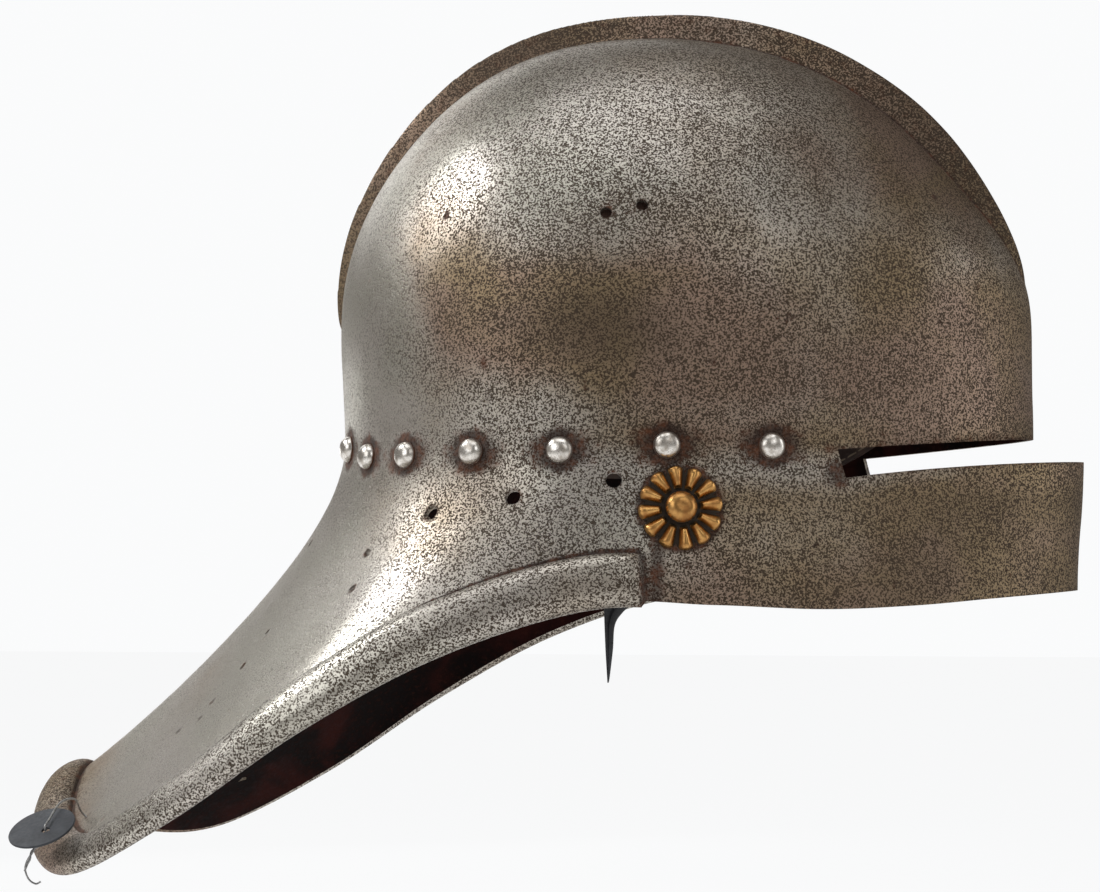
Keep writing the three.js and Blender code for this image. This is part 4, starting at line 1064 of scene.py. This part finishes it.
def washer(name, seat, depth, outer, inner, node):
    ring = merge(name, [placed(washer_ring(outer, inner, -depth + 0.45, -depth - 0.45), *seat)])
    dress(ring, 35, (iron,), "helmet")
    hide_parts(node)


def inner_depth(node, seat):
    """Depth of a CAD washer's inner face below the seat."""
    low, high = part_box(node)
    centre = (np.array(low) + np.array(high)) / 2 / MM
    return -(centre - seat[0]) @ seat[1]


def build_rivet(name):
    seat = rivet_places[name]
    lift = stand_off(seat, RIVET_HEAD) * 0.5 + 0.05
    depth = inner_depth(f"washer_{name}", seat)
    dice = np.random.default_rng(sum(map(ord, name)))
    top = RIVET_HEIGHT * dice.uniform(0.92, 1.0)
    radius = RIVET_HEAD * dice.uniform(0.97, 1.0)
    arc = np.linspace(0.06, np.pi / 2, 12)
    dome = [(radius * math.cos(a) ** 0.82, lift + top * math.sin(a)) for a in arc[:-1]]
    profile = [
        (0, -depth - 2.0), (1.6, -depth - 1.9), (2.7, -depth - 1.2), (2.9, -depth - 0.8),
        (1.8, -depth - 0.75), (1.8, lift - 0.4), (radius - 0.1, lift - 0.3),
        (radius, lift), *dome, (0, lift + top),
    ]
    vertices, faces = turned(profile, 32)
    head = vertices[:, 2] > lift - 0.5
    tilt = vertices[:, 0] * dice.normal(0, 0.02) + vertices[:, 1] * dice.normal(0, 0.02)
    vertices[:, 2] += np.where(head, tilt + 0.07 * waves(vertices, 5, int(dice.integers(1e6))), 0)
    points, faces = placed((vertices, faces), *seat)
    piece = merge(f"rivet_head_{name}", [(points, faces)])
    foot = np.exp(-((vertices[:, 2] - lift) / 0.8) ** 2)
    add_attribute(piece, "rust", np.where(head, foot * 0.9, 0.6))
    dress(piece, 50, (rivet_steel,), "helmet")
    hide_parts(f"rivet_{name}")
    washer(f"washer_plate_{name}", seat, depth, 4.55, 2.0, f"washer_{name}")


for rivet_name in rivet_places:
    build_rivet(rivet_name)


def rosette_disc(lift):
    """A sheet-brass flower: twelve domed petals with deep, wide grooves between them."""
    around, rings = 384, 30
    angle = np.linspace(0, 2 * np.pi, around, endpoint=False)
    across = np.abs((angle * PETALS / (2 * np.pi)) % 1 - 0.5)
    share = np.linspace(0, 1, rings)[:, None]
    rim = ROSETTE_RADIUS - 2.4 * (1 - np.sqrt(1 - np.minimum(across / 0.46, 1) ** 2))
    radius = mix(4.6, rim[None, :], share)
    dome = np.cos(np.pi / 2 * np.minimum(across / PETAL_HALF, 1))[None, :] ** 0.8
    end = np.sqrt(1 - np.clip((share - 0.78) / 0.22, 0, 1) ** 2)
    height = 0.35 + 2.5 * dome * smooth((radius - 6.4) / 1.8) * mix(0.15, 1, end)
    height = np.where(share > 0.985, 0.15, height)
    top = xyz(radius * np.cos(angle), radius * np.sin(angle), lift + height)
    under = top.copy()
    under[..., 2] = lift
    vertices = np.concatenate([top.reshape(-1, 3), under.reshape(-1, 3)])
    count = rings * around
    upper = grid_faces(rings, around)
    edges = []
    for row in (0, rings - 1):
        for i in range(around):
            a, b = row * around + i, row * around + (i + 1) % around
            edges.append((a, b, b + count, a + count) if row == 0 else (b, a, a + count, b + count))
    between = smooth((across[None, :] - PETAL_HALF + 0.06) / 0.07)
    hollow = np.maximum(between, 1 - smooth((radius - 6.6) / 1.2))
    hollow = np.maximum(hollow, 0.6 * smooth((share - 0.965) / 0.03))
    hollow = np.concatenate([hollow.ravel(), np.ones(count)])
    return vertices, [*upper, *(upper[:, ::-1] + count), *edges], hollow


def build_rosette(name):
    seat = rosette_places[name]
    lift = stand_off(seat, ROSETTE_RADIUS) * 0.75 + 0.1
    vertices, faces, hollow = rosette_disc(lift)
    # the thin flower is pressed to the plate, so its rim follows the wall
    vertices[:, 2] -= 0.30 * (np.hypot(vertices[:, 0], vertices[:, 1]) / ROSETTE_RADIUS) ** 2
    points, faces = placed((vertices, faces), *seat, turn=0.13)
    piece = merge(f"rosette_flower_{name}", [(points, faces)])
    add_attribute(piece, "hollow", np.clip(hollow, 0, 1))
    dress(piece, 60, (brass,), "helmet")
    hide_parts(f"rosette_{name}")

    depth = inner_depth(f"rosette_washer_{name}", seat)
    top = lift + 1.6
    arc = np.linspace(0.1, np.pi / 2, 14)
    dome = [(BOSS_RADIUS * math.cos(a) ** 0.9, top + BOSS_HEIGHT * math.sin(a)) for a in arc[:-1]]
    profile = [
        (0, -depth - 2.1), (2.2, -depth - 2.0), (3.5, -depth - 1.2), (3.7, -depth - 0.8),
        (2.2, -depth - 0.75), (2.2, top - 0.2), (BOSS_RADIUS - 0.15, top - 0.1),
        (BOSS_RADIUS, top + 0.3), *dome, (0, top + BOSS_HEIGHT),
    ]
    vertices, faces = turned(profile, 48)
    crown = np.hypot(vertices[:, 0] - 0.3, vertices[:, 1] + 0.2)
    dent = 0.55 * np.exp(-(crown / 2.2) ** 2) * (vertices[:, 2] > top)
    vertices[:, 2] += (vertices[:, 2] > top) * 0.08 * waves(vertices, 6, 31) - dent
    points, faces = placed((vertices, faces), *seat)
    boss = merge(f"rosette_boss_{name}", [(points, faces)])
    height = vertices[:, 2] - top
    add_attribute(boss, "hollow", np.exp(-((height - 0.2) / 0.9) ** 2) + 0.8 * (height < -1))
    dress(boss, 50, (brass,), "helmet")
    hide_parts(f"rosette_rivet_{name}")
    washer(f"boss_washer_{name}", seat, depth, 5.35, 2.5, f"rosette_washer_{name}")


for rosette_name in rosette_places:
    build_rosette(rosette_name)


# ---------------------------------------------------------------- lining

def at_height(surface, angle, z, end):
    low, high = np.zeros_like(angle), np.full_like(angle, end)
    for _ in range(26):
        t = (low + high) / 2
        over = surface(angle, t)[..., 2] > z
        low, high = np.where(over, t, low), np.where(over, high, t)
    return (low + high) / 2


def wall(angle, z, inward):
    """A point of the wall at a height, moved inwards along the wall's normal."""
    angle, z = np.broadcast_arrays(np.asarray(angle, float), np.asarray(z, float))
    u, v = at_height(bowl, angle, z, np.pi / 2), at_height(skirt, angle, z, 1.0)
    high = bowl(angle, u), normals(bowl, angle, u, 0, np.pi / 2)
    low = skirt(angle, v), normals(skirt, angle, v, 0, 1)
    pick = (z >= brow_height(angle))[..., None]
    inward = np.asarray(inward, float)[..., None]
    return np.where(pick, high[0], low[0]) - np.where(pick, high[1], low[1]) * inward


def band_centre(angle):
    return BAND_RISE * (1 - smooth((from_front(angle) - math.radians(40)) / math.radians(24)))


def build_band():
    """The leather strip riveted round the inside, with a line of stitches along each edge."""
    angle = np.linspace(0, 2 * np.pi, 420, endpoint=False)
    near, far = PLATE + BAND_GAP, PLATE + BAND_GAP + BAND_THICKNESS
    centre = band_centre(angle) + 0.25 * np.sin(angle * 9 + 1) + 0.15 * np.sin(angle * 23)
    section = []
    for share in np.linspace(1, -1, 9):
        section.append((share * BAND_HALF * 0.985, near + 0.3 * (abs(share) == 1)))
    for share in np.linspace(-1, 1, 9):
        section.append((share * BAND_HALF * 0.985, far - 0.3 * (abs(share) == 1)))
    rings = np.stack([wall(angle, centre + dz, depth) for dz, depth in section], 1)
    faces = grid_faces(len(angle), len(section), True)[:, [0, 3, 2, 1]]
    piece = merge("lining_strip", [(rings.reshape(-1, 3), faces)])
    dress(piece, 45, (leather,), "helmet")
    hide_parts("lining_band")

    stitches = []
    for edge in (-0.78, 0.78):
        for a in np.linspace(0, 2 * np.pi, 150, endpoint=False):
            ends = (a + np.array([0.0, 0.010, 0.022, 0.032])) % (2 * np.pi)
            depth = far + np.array([-0.2, 0.22, 0.22, -0.2])
            stitches.append(swept(wall(ends, band_centre(ends) + edge * BAND_HALF, depth), 0.32, 5))
    dress(merge("lining_strip_stitches", stitches), 60, (thread,), "helmet")


build_band()


def cap_surface(angle_share, height_share, depth):
    """A point of the cap: plan angle, share of the way from the crown to the hem, depth from the plate."""
    angle = np.asarray(angle_share)
    low = band_centre(angle) + BAND_HALF + LINER_LIFT
    end = at_height(bowl, angle, low, np.pi / 2)
    u = np.maximum(np.asarray(height_share) * end, 0.02)
    return bowl(angle, u) - normals(bowl, angle, u, 0, np.pi / 2) * np.asarray(depth)[..., None]


def quilt(angle, share):
    """How far the cloth stands from its seams, 0 on a seam to 1 mid-channel."""
    ribs = np.abs(np.sin(angle * CHANNELS / 2))
    hem = np.clip((1 - share) / 0.055, 0, 1)
    crown = np.clip((share - 0.10) / 0.05, 0, 1)
    return np.minimum(np.minimum(ribs ** 0.55, hem ** 0.5 + 0.15), mix(0.3, 1.0, crown))


def padded_depth(angle, share):
    """The quilted cap's inner face, measured from the plate."""
    thin = LINER_GAP + PLATE + 3.4
    return thin + (LINER_THICKNESS - 3.6) * quilt(angle, share)


def cap_grid():
    """Plan angles and height shares of the cap's grid."""
    angle = np.linspace(0, 2 * np.pi, CAP_AROUND, endpoint=False)
    return np.broadcast_arrays(angle[None, :], np.linspace(0.02, 1, CAP_ROWS)[:, None])


def build_cap():
    """The quilted cap: two layers of linen stuffed and sewn in channels that meet at the crown."""
    angle, share = cap_grid()
    near = cap_surface(angle, share, np.full(angle.shape, PLATE + LINER_GAP + 0.2))
    far = cap_surface(angle, share, padded_depth(angle, share))
    count = CAP_ROWS * CAP_AROUND
    vertices = np.concatenate([near.reshape(-1, 3), far.reshape(-1, 3), [near[0].mean(0)], [far[0].mean(0)]])
    quads = grid_faces(CAP_ROWS, CAP_AROUND)
    faces = [*quads, *(quads[:, ::-1] + count)]
    last = (CAP_ROWS - 1) * CAP_AROUND
    for i in range(CAP_AROUND):
        j = (i + 1) % CAP_AROUND
        faces.append((last + i, last + count + i, last + count + j, last + j))
        faces.append((2 * count, i, j))
        faces.append((2 * count + 1, count + j, count + i))
    return merge("quilted_cap", [(vertices, faces)])


def settle(piece, limit):
    """Lets the stuffing swell the cloth: a short cloth simulation under pressure, kept near its start."""
    start = np.empty(len(piece.data.vertices) * 3, np.float32)
    piece.data.vertices.foreach_get("co", start)
    cloth = piece.modifiers.new("Cloth", "CLOTH")
    settings = cloth.settings
    settings.quality = 4
    settings.mass = 0.2
    settings.tension_stiffness = 30
    settings.compression_stiffness = 30
    settings.shear_stiffness = 15
    settings.bending_stiffness = 1.2
    settings.use_pressure = True
    settings.uniform_pressure_force = 3.0
    settings.effector_weights.gravity = 0
    cloth.collision_settings.use_collision = False
    cloth.point_cache.frame_start = 1
    cloth.point_cache.frame_end = 14
    for number in range(1, 15):
        bpy.context.scene.frame_set(number)
    shape = piece.evaluated_get(bpy.context.evaluated_depsgraph_get()).to_mesh()
    moved = np.empty_like(start)
    shape.vertices.foreach_get("co", moved)
    piece.evaluated_get(bpy.context.evaluated_depsgraph_get()).to_mesh_clear()
    piece.modifiers.remove(cloth)
    shift = (moved - start).reshape(-1, 3)
    size = np.linalg.norm(shift, axis=1, keepdims=True)
    shift *= np.minimum(1, limit * MM / np.maximum(size, 1e-9))
    piece.data.vertices.foreach_set("co", (start.reshape(-1, 3) + shift).ravel())
    bpy.context.scene.frame_set(1)


def finish_cap(cap):
    seam = 1 - smooth(quilt(*cap_grid()) / 0.45)
    add_attribute(cap, "seam", np.concatenate([seam.ravel() * 0, seam.ravel(), [0, 0]]))
    dress(cap, 80, (linen,), "helmet")
    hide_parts("liner_cap")
    stitches = []
    for i in range(CHANNELS):
        a = np.full(4, 2 * np.pi * i / CHANNELS)
        for s in np.linspace(0.17, 0.93, 46):
            run = s + np.array([0, 0.003, 0.008, 0.011])
            depth = padded_depth(a, run) + np.array([-0.3, 0.35, 0.35, -0.3])
            stitches.append(swept(cap_surface(a, run, depth), 0.3, 5))
    dress(merge("cap_stitches", stitches), 60, (thread,), "helmet")


quilted_cap = build_cap()
settle(quilted_cap, 1.2)
finish_cap(quilted_cap)


# ---------------------------------------------------------------- chin straps and buckle

def wall_y(side, x, z):
    return abs(from_side(side, x, z)[0][1])


def leather_depth(side, x, z):
    """|y| of the leather's outer face: along the wall above the rosette, straight down below it."""
    return wall_y(side, x, max(z, ROSETTE_Z + 3)) - STRAP_OFFSET


def foot_y(side):
    return leather_depth(side, STRAP_FOOT, ROSETTE_Z) - STRAP_THICKNESS / 2


def fork_outline(foot):
    x, z, half = ROSETTE_X, ROSETTE_Z, ARM_HALF
    return [
        (x - half, z + 4), (x, z + half), (x + half, z + 3), (x + half - 1, z - 4),
        (STRAP_FOOT + 10, foot + 5), (STRAP_FOOT + half, foot), (STRAP_FOOT - half, foot),
        (STRAP_FOOT - 9, foot + 7), (ARM_X - half, ARM_Z - 3), (ARM_X - half + 1, ARM_Z + 4),
        (ARM_X, ARM_Z + half), (ARM_X + half, ARM_Z + 3), (ARM_X + half + 2, ARM_Z - 7),
        (STRAP_FOOT - 1, z - 1), (STRAP_FOOT + 6, z - 3),
    ]


def leather_sheet(side, outline, depth_of):
    """Leather cut to an outline and bent to hang inside the wall."""
    vertices, faces = extruded(outline, STRAP_THICKNESS, 0.4)
    mesh = bpy.data.meshes.new("cut")
    mesh.from_pydata([tuple(v) for v in vertices], [], faces)
    work = bmesh.new()
    work.from_mesh(mesh)
    flat = [f for f in work.faces if len(f.verts) > 4]
    bmesh.ops.triangulate(work, faces=flat)
    for v in work.verts:
        x, y, z = v.co
        v.co = (x, side * (depth_of(x, z) - y), z)
    bmesh.ops.recalc_face_normals(work, faces=work.faces)
    work.to_mesh(mesh)
    work.free()
    points = np.array([v.co[:] for v in mesh.vertices])
    polygons = [tuple(p.vertices) for p in mesh.polygons]
    bpy.data.meshes.remove(mesh)
    return points, polygons


def strap_piece(name, node, body, parts):
    piece = dress(merge(name, parts), 40, (dark_leather,), body)
    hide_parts(node)


def build_fork(side, name, foot):
    outline = spline(fork_outline(foot), 5, closed=True)
    outline[:, 1] = np.maximum(outline[:, 1], foot)
    parts = [leather_sheet(side, outline, lambda x, z: leather_depth(side, x, z))]
    if side > 0:
        for start in (-7.0, 2.6):
            centre = (STRAP_FOOT + start + 2.2, foot_y(1), PIVOT_LEFT)
            tube, faces = washer_ring(3.65, 2.1, 2.2, -2.2, 28, 0.3)
            tube = tube[:, [2, 1, 0]] * (1, 1, -1)
            parts.append((tube + centre, faces))
    strap_piece(f"strap_leather_{name}", f"strap_fork_{name}", "helmet", parts)


build_fork(-1, "right", PIVOT_RIGHT + PIVOT_GAP)
build_fork(1, "left", PIVOT_LEFT + 2.4)


def build_strap_end():
    """The hanging end: folded along its length, it narrows in a hollow curve to a point."""
    top = PIVOT_RIGHT - PIVOT_GAP
    levels = np.linspace(0, 1, 56)
    z = mix(top, -85.3, levels)
    left = np.interp(-z, (-top, 53, 62, 74, 85.3), (-18.0, -16.9, -16.2, -15.7, -15.0))
    curve = spline([
        (-4.3, top), (-5.1, -56.2), (-9.4, -60.2), (-12.5, -65), (-13.2, -73.8), (-14.3, -83), (-14.7, -85.3),
    ], 10)
    right = np.interp(-z, -curve[:, 1], curve[:, 0])
    face = foot_y(-1) + STRAP_THICKNESS / 2
    shares = np.array([0, 0.04, 0.14, 0.24, 0.34, 0.40, 0.46, 0.52, 0.62, 0.76, 0.90, 0.97, 1])
    near = np.array([0.9, 0.35, 0.12, 0.20, 0.75, 1.05, 0.75, 0.05, 0.0, 0.10, 0.35, 0.6, 1.0])
    width = right - left
    thin = np.clip(width / 6, 0.35, 1)[:, None]
    across = left[:, None] + width[:, None] * shares
    front = xyz(across, -(face - near * thin), z[:, None])
    back = xyz(across, -(face - STRAP_THICKNESS * mix(0.6, 1, thin) + 0 * shares), z[:, None])[:, ::-1]
    rings = np.concatenate([front, back], 1)
    count, last = rings.shape[1], (len(levels) - 1) * rings.shape[1]
    faces = [*grid_faces(len(levels), count), tuple(range(count))[::-1], tuple(range(last, last + count))]
    strap_piece("strap_point", "chin_strap_right", "strap_end", [(rings.reshape(-1, 3), faces)])


build_strap_end()


def build_buckle():
    bar_y = foot_y(1)
    half, rod = BUCKLE_WIDTH / 2 - BUCKLE_ROD / 2, BUCKLE_ROD / 2
    low = -BUCKLE_HEIGHT + BUCKLE_ROD
    corners = [(-half, 0), (half, 0), (half, low), (-half, low)]
    path = []
    for i, (x, z) in enumerate(corners):
        before, after = np.array(corners[i - 1]), np.array(corners[(i + 1) % 4])
        here = np.array((x, z))
        reach = 2.6 if z < -1 else 1.2
        a, b = here + unit(before - here) * reach, here + unit(after - here) * reach
        for t in np.linspace(0, 1, 7):
            path.append((1 - t) ** 2 * a + 2 * t * (1 - t) * here + t * t * b)
        for t in np.linspace(0, 1, 10)[1:-1]:
            nxt = after + unit(here - after) * (2.6 if after[1] < -1 else 1.2)
            path.append(mix(b, nxt, t))
    path = np.array(path)
    path = xyz(STRAP_FOOT + path[:, 0], bar_y, PIVOT_LEFT + path[:, 1])
    loop = merge("buckle_loop", [swept(path, rod * 0.98, 14, closed=True)])
    dress(loop, 60, (iron,), "buckle")
    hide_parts("buckle_frame")

    turn = np.linspace(0, 2 * np.pi, 28, endpoint=False)
    eye = xyz(STRAP_FOOT, bar_y + 2.65 * np.cos(turn), PIVOT_LEFT + 2.65 * np.sin(turn))
    middle = np.array([(0, -1.0, -2.6), (0, -2.0, -7), (0, -2.5, -12), (0, -2.5, -16.9)])
    blade = spline(middle + (STRAP_FOOT, bar_y, PIVOT_LEFT), 8)
    tongue = merge("buckle_pin", [
        swept(eye, 0.68, 10, closed=True), swept(blade, np.linspace(0.88, 0.6, len(blade)), 10),
    ])
    dress(tongue, 60, (iron,), "tongue")
    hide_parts("buckle_tongue")
build_buckle()


# ---------------------------------------------------------------- inventory tag

def build_tag():
    arc = np.linspace(0, np.pi / 2, 4)
    soft = 0.35
    edge = [(TAG_RADIUS - soft + soft * math.cos(a), TAG_THICKNESS - soft + soft * math.sin(a)) for a in arc]
    edge = [(r, TAG_THICKNESS - h) for r, h in reversed(edge)] + edge
    around = 96
    eye = np.array(TAG_EYE)
    angle = np.linspace(0, 2 * np.pi, around, endpoint=False)
    rings = [(1.7, None, 0.0)] + [(None, r, h) for r, h in edge] + [(1.7, None, TAG_THICKNESS)]
    vertices = []
    for hole, radius, height in rings:
        for a in angle:
            if hole:
                vertices.append((eye[0] + hole * math.cos(a), eye[1] + hole * math.sin(a), height))
            else:
                vertices.append((radius * math.cos(a), radius * math.sin(a), height))
    faces = grid_faces(len(rings), around, True)[:, [0, 3, 2, 1]]
    disc = merge("tag_board", [placed((np.array(vertices), faces), TAG_CENTRE, TAG_NORMAL)])
    dress(disc, 30, (tag_board,), "tag")
    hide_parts("tag_disc")

    point, normal = tag_seat
    up = np.array(TAG_NORMAL)
    local = np.array([[*TAG_EYE, TAG_THICKNESS / 2]])
    eye_point = placed((local, []), TAG_CENTRE, TAG_NORMAL)[0][0]
    path = spline([
        point - normal * 5.5 + (3, 3, 0), point - normal * 4.5, point - normal, point + normal * 3,
        mix(point, eye_point, 0.3) + (0, 0, 8), mix(point, eye_point, 0.65) + (0, 0, 8.5),
        eye_point + up * 3.2 + (0.6, 4.5, 1), eye_point + up * 1.5, eye_point - up * 3,
    ], 10)
    below = eye_point - up * 3
    strand = below + np.array([
        (0.2, -0.3, 0), (-3.5, -1.2, -2.0), (-5.4, -1.4, -5.0), (-7.4, -1.8, -8.2),
        (-8.2, -1.6, -11.5), (-7.0, -1.0, -15.0), (-4.6, -0.6, -16.6), (-2.8, -0.2, -15.8),
    ])
    other = below + np.array([
        (-0.2, 0.3, 0), (-3.0, -0.6, -2.6), (-6.0, -1.0, -4.8), (-6.4, -1.6, -7.6), (-7.6, -1.0, -9.6),
        (-8.4, -1.8, -12.0),
    ])
    strands = [swept(spline(line, 8), 0.36, 8) for line in (strand, other)]
    tie = merge("tag_tie", [swept(path, 0.40, 8), *strands])
    dress(tie, 60, (wire,), "tag")
    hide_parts("tag_wire")


build_tag()
rim_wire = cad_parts["rim_wire"]
rim_wire.data.materials.clear()
rim_wire.data.materials.append(iron)

# ---------------------------------------------------------------- studio

def build_floor():
    low = min(cad_box[0][2], -0.17) - 0.12
    mesh = bpy.data.meshes.new("floor")
    mesh.from_pydata([(x, y, low) for x, y in ((-6, -6), (6, -6), (6, 6), (-6, 6))], [], [(0, 1, 2, 3)])
    mesh.materials.append(floor_finish())
    link(bpy.data.objects.new("floor", mesh))


def aim_at(item, place, target):
    item.location = place
    item.rotation_euler = (Vector(target) - Vector(place)).to_track_quat("-Z", "Y").to_euler()


def add_light(name, place, size, power):
    data = bpy.data.lights.new(name, "AREA")
    data.shape = "RECTANGLE"
    data.size, data.size_y = size
    data.energy = power
    aim_at(link(bpy.data.objects.new(name, data)), place, (-0.05, 0, 0))


def build_studio():
    scene = bpy.context.scene
    scene.world = scene.world or bpy.data.worlds.new("studio")
    scene.world.use_nodes = True
    tree_nodes, links = scene.world.node_tree.nodes, scene.world.node_tree.links
    surround = tree_nodes["Background"]
    surround.inputs["Color"].default_value = (1.0, 0.93, 0.86, 1)
    surround.inputs["Strength"].default_value = 0.20
    backdrop = tree_nodes.new("ShaderNodeBackground")
    backdrop.inputs["Color"].default_value = (0.96, 0.965, 0.97, 1)
    backdrop.inputs["Strength"].default_value = 1.0
    path, blend = tree_nodes.new("ShaderNodeLightPath"), tree_nodes.new("ShaderNodeMixShader")
    links.new(path.outputs["Is Camera Ray"], blend.inputs["Fac"])
    links.new(surround.outputs["Background"], blend.inputs[1])
    links.new(backdrop.outputs["Background"], blend.inputs[2])
    links.new(blend.outputs["Shader"], tree_nodes["World Output"].inputs["Surface"])
    add_light("rear_key", (-1.02, -0.08, 0.86), (0.44, 0.44), 7.4)
    add_light("left_fill", (-0.95, -1.15, 0.62), (0.9, 0.9), 4.4)
    add_light("overhead", (0.0, -0.25, 1.6), (1.5, 1.2), 8.0)
    add_light("front_side", (1.35, 0.10, 0.30), (0.5, 1.1), 3.4)
    add_light("right_fill", (0.8, -1.15, 0.8), (0.8, 0.8), 2.6)
    add_light("back_wash", (-0.65, 1.35, 0.75), (1.2, 0.7), 3.4)
    add_light("back_low", (-0.80, 1.30, -0.06), (1.5, 0.22), 1.8)
    scene.view_settings.view_transform = "Standard"


def build_camera():
    data = bpy.data.cameras.new("camera")
    camera = link(bpy.data.objects.new("camera", data))
    turn, rise, distance = math.radians(9.0), math.radians(-1.54), 1.3
    aim = Vector((-0.052, 0.0, 0.001))
    back = Vector((math.sin(turn) * math.cos(rise), -math.cos(turn) * math.cos(rise), math.sin(rise)))
    aim_at(camera, aim + back * distance, aim)
    data.sensor_width = 36
    data.lens = 36 * 3377 / 1100
    data.clip_start, data.clip_end = 0.05, 50
    bpy.context.scene.camera = camera


build_floor()
build_studio()
build_camera()
